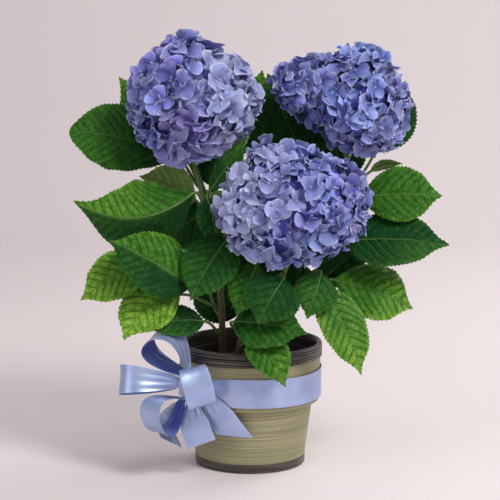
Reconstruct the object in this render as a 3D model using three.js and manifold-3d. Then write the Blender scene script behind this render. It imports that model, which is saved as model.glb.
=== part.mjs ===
// A hydrangea in a florist's pot: three flower heads on three stems, the leaves that grow from the stems,
// a plastic grow pot of soil standing in a glazed ceramic cover pot, and a satin ribbon tied round it in a bow.
// Millimetres, +Z up, the front towards -Y. The origin is the centre of the cover pot's underside.
import * as THREE from "three";
import Module from "manifold-3d";

// Clearance left between pieces that touch in life.
const GAP = 0.35;

// Ceramic cover pot.
const POT_HEIGHT = 137;
const FOOT_HEIGHT = 10;
const FOOT_RADIUS = 61;
const SHOULDER_HEIGHT = 71;
const SHOULDER_RADIUS = 69.5;
const COLLAR_RADIUS = 77.5;
const COLLAR_TOP_RADIUS = 78.5;
const LIP_HEIGHT = 121;
const LIP_RADIUS = 80;
const POT_WALL = 6;
const POT_FLOOR = 8;

// Plastic grow pot and the soil in it.
const GROW_TOP = 123;
const GROW_TOP_RADIUS = 70;
const GROW_FOOT_RADIUS = 50;
const GROW_WALL = 1.4;
const SOIL_TOP = 115;
const SOCKET_DEPTH = 25;
const SOCKET_SLACK = 1.2;

// Satin ribbon.
const RIBBON_WIDTH = 32;
const RIBBON_THICKNESS = 0.7;
const BAND_BOTTOM = 77;
const KNOT_ANGLE = 221.4;
const KNOT_HEIGHT = 98;
const KNOT_SIZE = [10, 6.5, 11];

// Stems and leaves.
const STEM_RADIUS = 4.2;
const STEM_TOP_RADIUS = 3;
const PETIOLE_RADIUS = 1.8;
const MIDRIB_THICKNESS = 1.5;
const BLADE_THICKNESS = 0.9;
const BLADE_STATIONS = [0.03, 0.1, 0.2, 0.32, 0.44, 0.56, 0.68, 0.79, 0.88, 0.95, 1];
const PETIOLE_STATIONS = [0, 0.18, 0.4, 0.62, 0.84];

const wasm = await Module();
wasm.setup();

const BARK = new THREE.MeshStandardMaterial({ color: 0x6f7a45, roughness: 0.8 });
const LEAF = new THREE.MeshStandardMaterial({ color: 0x3f6f34, roughness: 0.55 });
const PETAL = new THREE.MeshStandardMaterial({ color: 0x6f74b4, roughness: 0.6 });
const SATIN = new THREE.MeshStandardMaterial({ color: 0x8797c4, roughness: 0.35 });
const GLAZE = new THREE.MeshStandardMaterial({ color: 0x8f8a66, roughness: 0.4 });
const PLASTIC = new THREE.MeshStandardMaterial({ color: 0x2b2a28, roughness: 0.5 });
const SOIL = new THREE.MeshStandardMaterial({ color: 0x3a2b20, roughness: 0.95 });

const plant = new THREE.Group();
const vec = (p) => new THREE.Vector3(...p);

function add(name, geometry, material) {
  const mesh = new THREE.Mesh(geometry, material);
  mesh.name = name;
  plant.add(mesh);
}

// A closed solid through rings of the same number of points, capped flat at both ends.
function loft(rings) {
  const n = rings[0].length;
  const points = rings.flat();
  const faces = [];
  for (let i = 0; i < rings.length - 1; i++) {
    for (let j = 0; j < n; j++) {
      const a = i * n + j;
      const b = i * n + ((j + 1) % n);
      faces.push(a, b, b + n, a, b + n, a + n);
    }
  }
  const last = (rings.length - 1) * n;
  for (let j = 1; j < n - 1; j++) {
    faces.push(0, j + 1, j);
    faces.push(last, last + j, last + j + 1);
  }
  let volume = 0;
  for (let i = 0; i < faces.length; i += 3) {
    const [a, b, c] = [points[faces[i]], points[faces[i + 1]], points[faces[i + 2]]];
    volume += a.dot(b.clone().cross(c));
  }
  if (volume < 0) faces.reverse();
  const geometry = new THREE.BufferGeometry().setFromPoints(points);
  geometry.setIndex(faces);
  geometry.computeVertexNormals();
  return geometry;
}

function lathe(profile, segments) {
  const geometry = new THREE.LatheGeometry(
    profile.map(([r, z]) => new THREE.Vector2(r, z)),
    segments,
  );
  return geometry.rotateX(Math.PI / 2);
}

// The part of a direction square to an axis, at unit length.
function squareTo(axis, direction) {
  return direction.clone().addScaledVector(axis, -direction.dot(axis)).normalize();
}

// ---- cover pot, grow pot, soil ----

add(
  "ceramic_pot",
  lathe(
    [
      [0, 0],
      [FOOT_RADIUS - 1, 0],
      [FOOT_RADIUS, 1],
      [FOOT_RADIUS, FOOT_HEIGHT],
      [SHOULDER_RADIUS, SHOULDER_HEIGHT],
      [COLLAR_RADIUS, SHOULDER_HEIGHT + 3],
      [COLLAR_TOP_RADIUS, LIP_HEIGHT],
      [LIP_RADIUS, LIP_HEIGHT + 1.5],
      [LIP_RADIUS, POT_HEIGHT - 2],
      [LIP_RADIUS - 2, POT_HEIGHT],
      [LIP_RADIUS - 4, POT_HEIGHT],
      [LIP_RADIUS - POT_WALL, POT_HEIGHT - 2],
      [COLLAR_RADIUS - POT_WALL, SHOULDER_HEIGHT + 8],
      [SHOULDER_RADIUS - POT_WALL, SHOULDER_HEIGHT],
      [FOOT_RADIUS - POT_WALL, POT_FLOOR],
      [0, POT_FLOOR],
    ],
    48,
  ),
  GLAZE,
);

const growSlope = (GROW_TOP_RADIUS - GROW_FOOT_RADIUS) / (GROW_TOP - POT_FLOOR);
const growRadius = (z) => GROW_FOOT_RADIUS + growSlope * (z - POT_FLOOR);
const growFloor = POT_FLOOR + GAP;

add(
  "grow_pot",
  lathe(
    [
      [0, growFloor],
      [growRadius(growFloor), growFloor],
      [GROW_TOP_RADIUS, GROW_TOP],
      [GROW_TOP_RADIUS - GROW_WALL, GROW_TOP],
      [growRadius(growFloor + GROW_WALL) - GROW_WALL, growFloor + GROW_WALL],
      [0, growFloor + GROW_WALL],
    ],
    36,
  ),
  PLASTIC,
);

const soilFoot = growFloor + GROW_WALL + GAP;
const soilRadius = (z) => growRadius(z) - GROW_WALL - GAP - 0.3;
const soilBlock = lathe(
  [
    [0, soilFoot],
    [soilRadius(soilFoot), soilFoot],
    [soilRadius(SOIL_TOP - 4), SOIL_TOP - 4],
    [soilRadius(SOIL_TOP - 4) - 8, SOIL_TOP - 1],
    [24, SOIL_TOP],
    [0, SOIL_TOP + 1],
  ],
  36,
);

// ---- stems ----

const STEMS = {
  left: [[-30, -18, 90], [-30, -18, 125], [-33, -12, 200], [-44, -2, 276], [-60, 2, 330]],
  front: [[-13, -33, 90], [-13, -33, 125], [-2, -42, 170], [14, -52, 202], [37, -62, 223]],
  right: [[14, 8, 90], [14, 8, 125], [34, 10, 196], [74, 17, 274], [108, 24, 334]],
};

const stemCurves = Object.fromEntries(
  Object.entries(STEMS).map(([key, points]) => [key, new THREE.CatmullRomCurve3(points.map(vec))]),
);

// Where a stem is at a height, which way it runs there and how thick it is.
function stemAt(key, height) {
  const curve = stemCurves[key];
  let low = 0;
  let high = 1;
  for (let i = 0; i < 30; i++) {
    const mid = (low + high) / 2;
    if (curve.getPoint(mid).z < height) low = mid;
    else high = mid;
  }
  return {
    point: curve.getPoint(low),
    along: curve.getTangent(low),
    radius: STEM_RADIUS + (STEM_TOP_RADIUS - STEM_RADIUS) * low,
  };
}

function circle(centre, along, side, radius, count) {
  const up = side.clone().cross(along);
  const ring = [];
  for (let i = 0; i < count; i++) {
    const a = (i / count) * 2 * Math.PI;
    ring.push(
      centre
        .clone()
        .addScaledVector(side, radius * Math.cos(a))
        .addScaledVector(up, radius * Math.sin(a)),
    );
  }
  return ring;
}

for (const [key, curve] of Object.entries(stemCurves)) {
  const rings = [];
  for (let i = 0; i <= 14; i++) {
    const t = i / 14;
    const along = curve.getTangent(t);
    const radius = STEM_RADIUS + (STEM_TOP_RADIUS - STEM_RADIUS) * t;
    rings.push(circle(curve.getPoint(t), along, squareTo(along, vec([1, 0, 0])), radius, 8));
  }
  add("stem_" + key, loft(rings), BARK);
}

// The soil, with a socket round each stem.
function solidOf(geometry) {
  const flat = geometry.toNonIndexed();
  const mesh = new wasm.Mesh({
    numProp: 3,
    vertProperties: flat.attributes.position.array,
    triVerts: new Uint32Array(flat.attributes.position.count).map((_, i) => i),
  });
  mesh.merge();
  return new wasm.Manifold(mesh);
}

let soil = solidOf(soilBlock);
for (const points of Object.values(STEMS)) {
  const [x, y] = points[0];
  const radius = STEM_RADIUS + SOCKET_SLACK;
  const socket = wasm.Manifold.cylinder(SOCKET_DEPTH + 20, radius, radius, 12);
  soil = soil.subtract(socket.translate([x, y, SOIL_TOP - SOCKET_DEPTH - GAP]));
}
const soilMesh = soil.getMesh();
const soilGeometry = new THREE.BufferGeometry();
soilGeometry.setAttribute("position", new THREE.BufferAttribute(soilMesh.vertProperties, 3));
soilGeometry.setIndex(new THREE.BufferAttribute(soilMesh.triVerts, 1));
add("root_ball", soilGeometry, SOIL);

// ---- flower heads ----

// A lumpy ball: three half-sizes, then bulges, each with a direction, a height and a spread.
const HEADS = {
  left: {
    centre: [-63, 0, 404],
    size: [68, 64, 70],
    bulges: [[[0.95, -0.2, 0], 0.07, 7], [[0.5, 0, 0.87], -0.13, 9], [[-0.8, 0, 0.7], -0.03, 8], [[0.1, -0.5, -0.8], 0.05, 8]],
  },
  right: {
    centre: [117, 26, 400],
    size: [56, 58, 60],
    bulges: [[[-0.97, -0.1, 0.2], 0.78, 9], [[0.7, -0.1, -0.7], 0.13, 8], [[-0.8, 0, -0.6], -0.16, 7]],
  },
  front: {
    centre: [47, -66, 295],
    size: [81, 62, 63],
    bulges: [[[-0.42, 0.2, 0.88], 0.24, 16], [[-0.25, -0.2, -0.95], 0.08, 16], [[0.9, 0, 0.35], 0.05, 6]],
  },
};

for (const [key, head] of Object.entries(HEADS)) {
  const ball = new THREE.IcosahedronGeometry(1, 5);
  const position = ball.attributes.position;
  for (let i = 0; i < position.count; i++) {
    const direction = new THREE.Vector3().fromBufferAttribute(position, i).normalize();
    let reach = 1 + 0.025 * Math.sin(5 * direction.x + 2) * Math.cos(6 * direction.z + direction.y * 4);
    for (const [towards, height, spread] of head.bulges) {
      reach += height * Math.exp(-spread * (1 - direction.dot(vec(towards).normalize())));
    }
    const point = direction.multiply(vec(head.size)).multiplyScalar(reach).add(vec(head.centre));
    position.setXYZ(i, Math.fround(point.x), Math.fround(point.y), Math.fround(point.z));
  }
  add("flower_head_" + key, ball, PETAL);
}

// ---- leaves ----

// Half-width along the blade, as a share of its widest: rounded at the base, drawn out to a point at the tip.
// A larger belly moves the widest part towards the tip, and a larger taper draws both ends out thinner.
function bladeShape(t, belly, taper) {
  const body = Math.sin(Math.PI * Math.min(1, t) ** belly);
  return Math.max(0, body) ** taper * (1 - 0.25 * THREE.MathUtils.smoothstep(t, 0.7, 1));
}

// One leaf: a petiole from the stem to the blade's base, then the blade from base to tip.
// face is the way its upper side looks, open the angle of each half above flat, arch the rise of the midrib,
// bend its sideways bow, and droop how far the tip falls below the chord.
function leaf(name, l) {
  const base = vec(l.base);
  const tip = vec(l.tip);
  const chord = tip.clone().sub(base);
  const length = chord.length();
  const ahead = chord.clone().normalize();
  const face = squareTo(ahead, vec(l.face));
  const side = ahead.clone().cross(face);
  const { arch = 6, bend = 0, droop = 4, open = [14, 14], cup = 0.22, belly = 0.82, taper = 0.8 } = l;
  const midrib = (t) =>
    base
      .clone()
      .addScaledVector(chord, t)
      .addScaledVector(face, arch * 4 * t * (1 - t) - droop * t ** 3)
      .addScaledVector(side, bend * 4 * t * (1 - t));
  const slope = (t) => midrib(t + 0.01).sub(midrib(t - 0.01)).normalize();

  const stem = stemAt(l.stem, l.at);
  const out = squareTo(stem.along, base.clone().sub(stem.point));
  const start = stem.point.clone().addScaledVector(out, stem.radius + GAP + 0.1);
  const span = start.distanceTo(base);
  const petiole = new THREE.CubicBezierCurve3(
    start,
    start.clone().addScaledVector(out, span * 0.3).add(vec(l.lift || [0, 0, 0])),
    base.clone().addScaledVector(slope(0), -span * 0.35),
    base,
  );

  const rings = [];
  for (const u of PETIOLE_STATIONS) {
    const along = petiole.getTangent(u);
    const up = squareTo(along, face);
    const across = along.clone().cross(up);
    rings.push(sectionRing(petiole.getPoint(u), across, up, PETIOLE_RADIUS * (1 - 0.25 * u)));
  }
  for (const t of BLADE_STATIONS) {
    const along = slope(t);
    const up = squareTo(along, face);
    const across = along.clone().cross(up);
    const half = Math.max(0.5, (l.width / 2) * bladeShape(t, belly, taper));
    const ring = [];
    for (const [s, surface] of [[-1, 0], [-0.5, 1], [0, 1], [0.5, 1], [1, 0], [0.5, -1], [0, -1], [-0.5, -1]]) {
      const lift = THREE.MathUtils.degToRad(open[s < 0 ? 0 : 1]);
      const rib = MIDRIB_THICKNESS * (1 - 0.5 * t);
      const thick = s === 0 ? rib : Math.min(BLADE_THICKNESS, half * 0.5);
      ring.push(
        midrib(t)
          .addScaledVector(across, half * s * Math.cos(lift))
          .addScaledVector(up, half * (Math.abs(s) * Math.sin(lift) - cup * s * s) + (surface * thick) / 2),
      );
    }
    rings.push(ring);
  }
  add(name, loft(rings), LEAF);
}

// Eight points round a petiole, in the order of the blade's own section.
function sectionRing(centre, across, up, radius) {
  const ring = [];
  for (let i = 0; i < 8; i++) {
    const a = Math.PI * (1 - i / 4);
    ring.push(
      centre
        .clone()
        .addScaledVector(across, radius * Math.cos(a))
        .addScaledVector(up, radius * Math.sin(a)),
    );
  }
  return ring;
}

const LEAVES = {
  leaf_left_top: { stem: "left", at: 308, base: [-86, 48, 338], tip: [-199, 26, 369], face: [-0.1, -0.75, 0.66],
    width: 90, arch: 8, belly: 1.2, taper: 0.55 },
  leaf_left_crown: { stem: "left", at: 298, base: [-80, 68, 342], tip: [-149, 80, 423], face: [-0.6, -0.4, 0.6],
    width: 58 },
  leaf_left_mid: { stem: "left", at: 278, base: [-62, -26, 304], tip: [-190, -38, 298], face: [0, -0.85, 0.5],
    width: 92, bend: -27, open: [-60, 4], cup: 0.14, taper: 0.9 },
  leaf_left_under: { stem: "left", at: 260, base: [-60, 4, 293], tip: [-121, 18, 319], face: [-0.1, 0.85, 0.45],
    width: 56 },
  leaf_left_curl: { stem: "left", at: 288, base: [-44, -26, 306], tip: [-4, -35, 368], face: [-0.3, -0.9, 0.2],
    width: 24, bend: 3, open: [10, 20] },
  leaf_left_outer: { stem: "left", at: 226, base: [-110, -36, 233], tip: [-184, -48, 192], face: [-0.3, -0.8, 0.5],
    width: 62 },
  leaf_left_low: { stem: "left", at: 198, base: [-64, -56, 207], tip: [-149, -70, 260], face: [0.1, -0.82, 0.56],
    width: 74 },
  leaf_left_bottom: { stem: "left", at: 178, base: [-76, -46, 196], tip: [-135, -80, 154], face: [-0.1, -0.8, 0.6],
    width: 62, bend: 9 },
  leaf_left_rim: { stem: "left", at: 148, base: [-50, -52, 168], tip: [-114, -70, 166], face: [0, -0.72, 0.7],
    width: 42 },
  leaf_centre_left: { stem: "left", at: 222, base: [-24, -48, 258], tip: [-64, -84, 198], face: [-0.2, -0.9, 0.4],
    width: 66 },
  leaf_front_hang: { stem: "front", at: 204, base: [36, -84, 220], tip: [8, -104, 176], face: [-0.1, -0.85, 0.5],
    width: 66, arch: 4 },
  leaf_front_right: { stem: "front", at: 194, base: [76, -64, 222], tip: [61, -94, 180], face: [0.2, -0.85, 0.5],
    width: 48 },
  leaf_front_low: { stem: "front", at: 156, base: [-18, -66, 170], tip: [60, -92, 164], face: [0, -0.8, 0.6],
    width: 62 },
  leaf_front_rim: { stem: "front", at: 140, base: [2, -68, 157], tip: [38, -100, 108], face: [0.1, -0.75, 0.65],
    width: 48, arch: 11 },
  leaf_right_droop: { stem: "front", at: 182, base: [77, -54, 206], tip: [121, -86, 117], face: [0.5, -0.75, 0.4],
    width: 62 },
  leaf_right_low: { stem: "right", at: 176, base: [92, -20, 208], tip: [179, -28, 179], face: [0.1, -0.76, 0.64],
    width: 74, belly: 1.05 },
  leaf_right_mid: { stem: "right", at: 226, base: [104, -14, 250], tip: [215, -38, 251], face: [0.1, -0.75, 0.65],
    width: 74 },
  leaf_right_upper: { stem: "right", at: 262, base: [120, 0, 296], tip: [210, -10, 301], face: [0.1, -0.85, 0.5],
    width: 68, belly: 1.0 },
  leaf_right_small: { stem: "right", at: 300, base: [134, 28, 322], tip: [168, 22, 334], face: [0.1, 0.5, 0.85],
    width: 24, arch: 3 },
  leaf_right_crown: { stem: "right", at: 288, base: [142, 84, 338], tip: [177, 96, 418], face: [-0.1, -0.97, 0.2],
    width: 66 },
  leaf_back_centre: { stem: "right", at: 276, base: [66, 62, 318], tip: [20, 68, 428], face: [0, -0.97, 0.2],
    width: 88, arch: -4 },
  leaf_back_left: { stem: "left", at: 244, base: [-80, 56, 262], tip: [-152, 118, 250], face: [-0.2, 0.2, 0.95],
    width: 76 },
  leaf_back_right: { stem: "right", at: 246, base: [108, 64, 274], tip: [172, 136, 264], face: [0.2, 0.2, 0.95],
    width: 74 },
  leaf_back_high: { stem: "left", at: 240, base: [-24, 66, 284], tip: [-26, 168, 278], face: [0, 0.25, 0.95],
    width: 78 },
  leaf_back_low_left: { stem: "left", at: 168, base: [-62, 50, 200], tip: [-124, 112, 176], face: [-0.2, 0.3, 0.9],
    width: 66 },
  leaf_back_low_mid: { stem: "right", at: 156, base: [8, 72, 186], tip: [6, 160, 156], face: [0, 0.4, 0.9],
    width: 68 },
  leaf_back_low_right: { stem: "right", at: 190, base: [84, 54, 210], tip: [152, 104, 186], face: [0.3, 0.2, 0.9],
    width: 68 },
  leaf_left_inner: { stem: "left", at: 262, base: [-44, 22, 281], tip: [-106, 34, 238], face: [0, -0.92, 0.35],
    width: 54 },
  leaf_left_shade: { stem: "left", at: 252, base: [-44, 44, 304], tip: [-30, 82, 362], face: [-0.1, -0.95, 0.3],
    width: 60 },
  leaf_centre_inner: { stem: "left", at: 250, base: [14, -14, 254], tip: [-10, -32, 188], face: [0, -0.9, 0.4],
    width: 58 },
  leaf_centre_bright: { stem: "front", at: 166, base: [8, -62, 232], tip: [-15, -80, 180], face: [-0.1, -0.85, 0.5],
    width: 42 },
  leaf_low_inner: { stem: "right", at: 138, base: [-11, 30, 162], tip: [-68, 44, 190], face: [0, -0.9, 0.4],
    width: 56 },
  leaf_right_inner: { stem: "right", at: 196, base: [80, 22, 200], tip: [128, 28, 240], face: [0.1, -0.9, 0.4],
    width: 58 },
  leaf_front_inner: { stem: "front", at: 188, base: [58, -22, 226], tip: [38, -34, 178], face: [0, -0.9, 0.4],
    width: 50 },
  leaf_right_shade: { stem: "right", at: 256, base: [102, 64, 304], tip: [94, 98, 388], face: [0, -0.97, 0.2],
    width: 70, arch: -4 },
  leaf_back_top: { stem: "right", at: 252, base: [-8, 86, 336], tip: [14, 98, 430], face: [0, -0.97, 0.15],
    width: 62, arch: -3 },
  leaf_back_mid: { stem: "right", at: 212, base: [50, 64, 236], tip: [62, 160, 222], face: [0, 0.25, 0.95],
    width: 76 },
  leaf_back_inner: { stem: "left", at: 210, base: [-40, 62, 228], tip: [-58, 146, 208], face: [0, 0.3, 0.93],
    width: 72 },
  leaf_left_dark: { stem: "left", at: 222, base: [-12, 48, 262], tip: [-60, 54, 233], face: [0, -0.95, 0.3],
    width: 50 },
  leaf_centre_dark: { stem: "right", at: 168, base: [-6, 10, 228], tip: [-22, 14, 168], face: [0, -0.93, 0.35],
    width: 38 },
  leaf_left_hang: { stem: "left", at: 274, base: [-46, -35, 300], tip: [-35, -39, 250], face: [0.1, -0.9, 0.35],
    width: 36 },
};

for (const [name, entry] of Object.entries(LEAVES)) {
  leaf(name, entry);
}

// ---- ribbon ----

const bandRadius = COLLAR_TOP_RADIUS + GAP;
add(
  "ribbon_band",
  lathe(
    [
      [bandRadius, BAND_BOTTOM],
      [bandRadius + RIBBON_THICKNESS, BAND_BOTTOM],
      [bandRadius + RIBBON_THICKNESS, BAND_BOTTOM + RIBBON_WIDTH],
      [bandRadius, BAND_BOTTOM + RIBBON_WIDTH],
      [bandRadius, BAND_BOTTOM],
    ],
    48,
  ),
  SATIN,
);

const knotTurn = THREE.MathUtils.degToRad(KNOT_ANGLE);
const outward = vec([Math.cos(knotTurn), Math.sin(knotTurn), 0]);
const knotCentre = outward
  .clone()
  .multiplyScalar(bandRadius + RIBBON_THICKNESS + GAP + KNOT_SIZE[1])
  .setZ(KNOT_HEIGHT);

const knot = new THREE.IcosahedronGeometry(1, 3);
knot.scale(...KNOT_SIZE);
knot.rotateZ(knotTurn - Math.PI / 2);
knot.translate(...knotCentre.toArray());
add("bow_knot", knot, SATIN);

// A length of ribbon along a path: at each station a centre, the way across the ribbon and its width there.
function ribbon(stations) {
  const rings = stations.map(({ at, across, width }, i) => {
    const before = stations[Math.max(0, i - 1)].at;
    const after = stations[Math.min(stations.length - 1, i + 1)].at;
    const along = after.clone().sub(before).normalize();
    const over = squareTo(along, across);
    const normal = along.clone().cross(over);
    return [[-1, -1], [1, -1], [1, 1], [-1, 1]].map(([u, v]) =>
      at
        .clone()
        .addScaledVector(over, (u * width) / 2)
        .addScaledVector(normal, (v * RIBBON_THICKNESS) / 2),
    );
  });
  return loft(rings);
}

// A bow loop: out from the knot, round and back, gathered where it enters the knot.
const LOOPS = {
  upper: { root: [-3, -3, 14.5], reach: [-35, -2, 43], across: [0.2, 0.75, 0.6], breadth: 42 },
  left: { root: [-12, -2, 3.5], reach: [-64, -6, 5], across: [0.05, 0.3, 0.95], breadth: 32 },
  lower: { root: [-9, -6, -13], reach: [-31, -29, -21], across: [0.72, -0.69, 0], breadth: 40 },
  front: { root: [4, -10, 2], reach: [6, -36, 6], across: [1, 0.05, 0.25], breadth: 42 },
};

for (const [key, loop] of Object.entries(LOOPS)) {
  const reach = vec(loop.reach);
  const across = squareTo(reach.clone().normalize(), vec(loop.across));
  const rise = across.clone().cross(reach).normalize();
  const stations = [];
  for (let i = 0; i <= 20; i++) {
    const u = i / 20;
    stations.push({
      at: knotCentre
        .clone()
        .add(vec(loop.root))
        .addScaledVector(reach, Math.sin(Math.PI * u))
        .addScaledVector(rise, (loop.breadth / 2) * Math.sin(2 * Math.PI * u) + 1.6 * Math.cos(Math.PI * u)),
      across,
      width: 9 + (RIBBON_WIDTH - 9) * Math.sin(Math.PI * u) ** 0.57,
    });
  }
  add("bow_loop_" + key, ribbon(stations), SATIN);
}

// A bow tail: a path from the knot to its cut end, widening from where it is gathered.
const TAILS = {
  left: { path: [[-2, 3, -13], [-15, 12, -23], [-27, 15, -38], [-27, 12, -52], [-21, 8, -66]],
    across: [0.8, 0.6, 0], end: 20 },
  middle: { path: [[2, -8, -14], [3, -16, -28], [7, -20, -44], [13, -21, -60]], across: [0.94, -0.1, 0.35], end: 32 },
  right: { path: [[12, -8, -7], [22, -15, -16], [32, -17, -29], [41, -16, -42], [49, -14, -53]],
    across: [0.8, -0.3, 0.6], end: 32 },
};

for (const [key, tail] of Object.entries(TAILS)) {
  const curve = new THREE.CatmullRomCurve3(tail.path.map((p) => vec(p).add(knotCentre)));
  const stations = [];
  for (let i = 0; i <= 9; i++) {
    const u = i / 9;
    stations.push({
      at: curve.getPoint(u),
      across: vec(tail.across),
      width: 8 + (tail.end - 8) * Math.min(1, 1.8 * u) ** 0.8,
    });
  }
  add("bow_tail_" + key, ribbon(stations), SATIN);
}

export default plant;
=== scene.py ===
"""A potted hydrangea: mophead flowers and serrated leaves in a glazed pot with a satin bow."""

import itertools
import math

import bpy
import numpy as np
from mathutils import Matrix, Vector, noise
from mathutils.bvhtree import BVHTree


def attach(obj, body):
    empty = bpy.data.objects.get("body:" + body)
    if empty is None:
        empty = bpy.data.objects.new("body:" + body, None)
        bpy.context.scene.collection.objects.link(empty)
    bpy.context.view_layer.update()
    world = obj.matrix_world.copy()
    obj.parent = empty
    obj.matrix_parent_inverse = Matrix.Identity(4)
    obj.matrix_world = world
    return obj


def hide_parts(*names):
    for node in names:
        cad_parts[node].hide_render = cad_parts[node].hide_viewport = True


bl_info = {
    "name": "Potted hydrangea",
    "version": (1, 0, 0),
    "blender": (4, 5, 0),
    "location": "3D View > Sidebar > Hydrangea",
    "description": "Builds a florist's hydrangea in a glazed cover pot with a satin bow",
    "category": "Object",
}

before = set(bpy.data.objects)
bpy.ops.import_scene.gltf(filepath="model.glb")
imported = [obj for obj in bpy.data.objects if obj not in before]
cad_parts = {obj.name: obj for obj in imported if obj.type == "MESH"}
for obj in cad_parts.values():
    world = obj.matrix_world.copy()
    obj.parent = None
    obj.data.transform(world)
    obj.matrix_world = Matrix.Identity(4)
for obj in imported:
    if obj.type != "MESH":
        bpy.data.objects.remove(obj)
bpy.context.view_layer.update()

MM = 0.001


# ---- small helpers ----


def linear(hex_colour):
    """An sRGB hex colour as linear red, green and blue."""
    parts = [int(hex_colour[i : i + 2], 16) / 255 for i in (1, 3, 5)]
    return tuple(c / 12.92 if c <= 0.04045 else ((c + 0.055) / 1.055) ** 2.4 for c in parts)


def rgba(colour):
    """A linear colour with full alpha, from a tuple or a setting."""
    return (*colour[:3], 1.0)


def unit(v):
    """Vectors at unit length."""
    return v / np.maximum(np.linalg.norm(v, axis=-1, keepdims=True), 1e-12)


def dot(a, b):
    """Dot products, kept as a column."""
    return np.sum(a * b, axis=-1, keepdims=True)


def square_to(axis, direction):
    """The part of a direction square to an axis, at unit length."""
    return unit(direction - axis * dot(axis, direction))


def ramp(x, low, high):
    """0 below low, 1 above high and smooth between."""
    t = np.clip((x - low) / (high - low), 0, 1)
    return t * t * (3 - 2 * t)


def grain(points, scale, seed=0.0):
    """Smooth noise from -1 to 1 at each point; scale is cycles per unit."""
    flat = np.asarray(points, float).reshape(-1, 3)
    values = [noise.noise(Vector(p * scale) + Vector((seed, 2 * seed, 3 * seed))) for p in flat]
    return np.array(values).reshape(np.shape(points)[:-1])


def grid_faces(rows, columns, wrap=False, start=0):
    """Quads of a grid of points stored row by row; wrap joins the last column to the first."""
    across = columns if wrap else columns - 1
    i, j = np.meshgrid(np.arange(rows - 1), np.arange(across), indexing="ij")
    a = start + i * columns + j
    b = start + i * columns + (j + 1) % columns
    return np.stack([a, b, b + columns, a + columns], -1).reshape(-1, 4)


class Sheets:
    """Gathers the points, faces, face materials and point values of one mesh."""

    def __init__(self):
        self.points, self.faces, self.slots, self.values = [], [], [], {}
        self.count = 0

    def put(self, points, faces, slot=0, **values):
        """Adds points in millimetres, faces that number them from 0, and values for each point."""
        points = np.asarray(points, float).reshape(-1, 3)
        self.points.append(points)
        self.faces.extend((np.asarray(face) + self.count).tolist() for face in faces)
        self.slots.extend([slot] * len(faces))
        for key, value in values.items():
            value = np.broadcast_to(np.asarray(value, float), (len(points), 3))
            self.values.setdefault(key, []).append(value)
        self.count += len(points)

    def put_sheet(self, points, normals, thickness, slots=(0, 0), **values):
        """Adds a thin sheet given as a grid; its two sides share the rim, and slots are their materials."""
        rows, columns = points.shape[:2]
        inside = np.zeros((rows, columns), bool)
        inside[1:-1, 1:-1] = True
        upper = np.where(inside[..., None], points + normals * thickness / 2, points)
        lower = points - normals * thickness / 2
        above = np.arange(rows * columns).reshape(rows, columns)
        below = above.copy()
        below[inside] = rows * columns + np.arange(inside.sum())
        top = np.stack([above[:-1, :-1], above[:-1, 1:], above[1:, 1:], above[1:, :-1]], -1).reshape(-1, 4)
        bottom = np.stack([below[:-1, :-1], below[1:, :-1], below[1:, 1:], below[:-1, 1:]], -1).reshape(-1, 4)
        every = np.concatenate([upper.reshape(-1, 3), lower[inside]])
        values = {key: np.concatenate([value.reshape(-1, 3), value[inside]]) for key, value in values.items()}
        self.put(every, np.concatenate([top, bottom]), slots[0], **values)
        self.slots[-len(bottom) :] = [slots[1]] * len(bottom)

    def finish(self, name, materials, crease=50):
        """The mesh as an object in the scene, in metres; edges sharper than crease degrees stay sharp."""
        mesh = bpy.data.meshes.new(name)
        points = np.concatenate(self.points) * MM
        mesh.from_pydata(points.tolist(), [], self.faces)
        for material in materials:
            mesh.materials.append(material)
        mesh.polygons.foreach_set("material_index", self.slots)
        mesh.polygons.foreach_set("use_smooth", [True] * len(mesh.polygons))
        for key, value in self.values.items():
            layer = mesh.attributes.new(key, "FLOAT_VECTOR", "POINT")
            layer.data.foreach_set("vector", np.concatenate(value).ravel())
        mesh.set_sharp_from_angle(angle=math.radians(crease))
        mesh.update()
        piece = bpy.data.objects.new(name, mesh)
        bpy.context.scene.collection.objects.link(piece)
        return piece


def stand_for(piece, node):
    """The piece rides on the object's one body and takes the place of a CAD node."""
    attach(piece, "root")
    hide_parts(node)
    return piece


def swept(path, radii, sides=12, up=(0, 0, 1)):
    """A round tube along a path, with closed ends."""
    path = np.asarray(path, float)
    along = unit(np.gradient(path, axis=0))
    side = square_to(along, np.broadcast_to(np.asarray(up, float), along.shape))
    over = np.cross(along, side)
    turn = np.linspace(0, 2 * np.pi, sides, endpoint=False)
    radii = np.broadcast_to(np.asarray(radii, float), (len(path),))
    spoke = np.cos(turn)[None, :, None] * side[:, None] + np.sin(turn)[None, :, None] * over[:, None]
    rings = path[:, None] + radii[:, None, None] * spoke
    points = np.concatenate([rings.reshape(-1, 3), path[:1], path[-1:]])
    faces = grid_faces(len(path), sides, wrap=True).tolist()
    first, last = len(path) * sides, len(path) * sides + 1
    end = (len(path) - 1) * sides
    for j in range(sides):
        faces.append([first, (j + 1) % sides, j])
        faces.append([last, end + j, end + (j + 1) % sides])
    return points, faces


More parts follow.
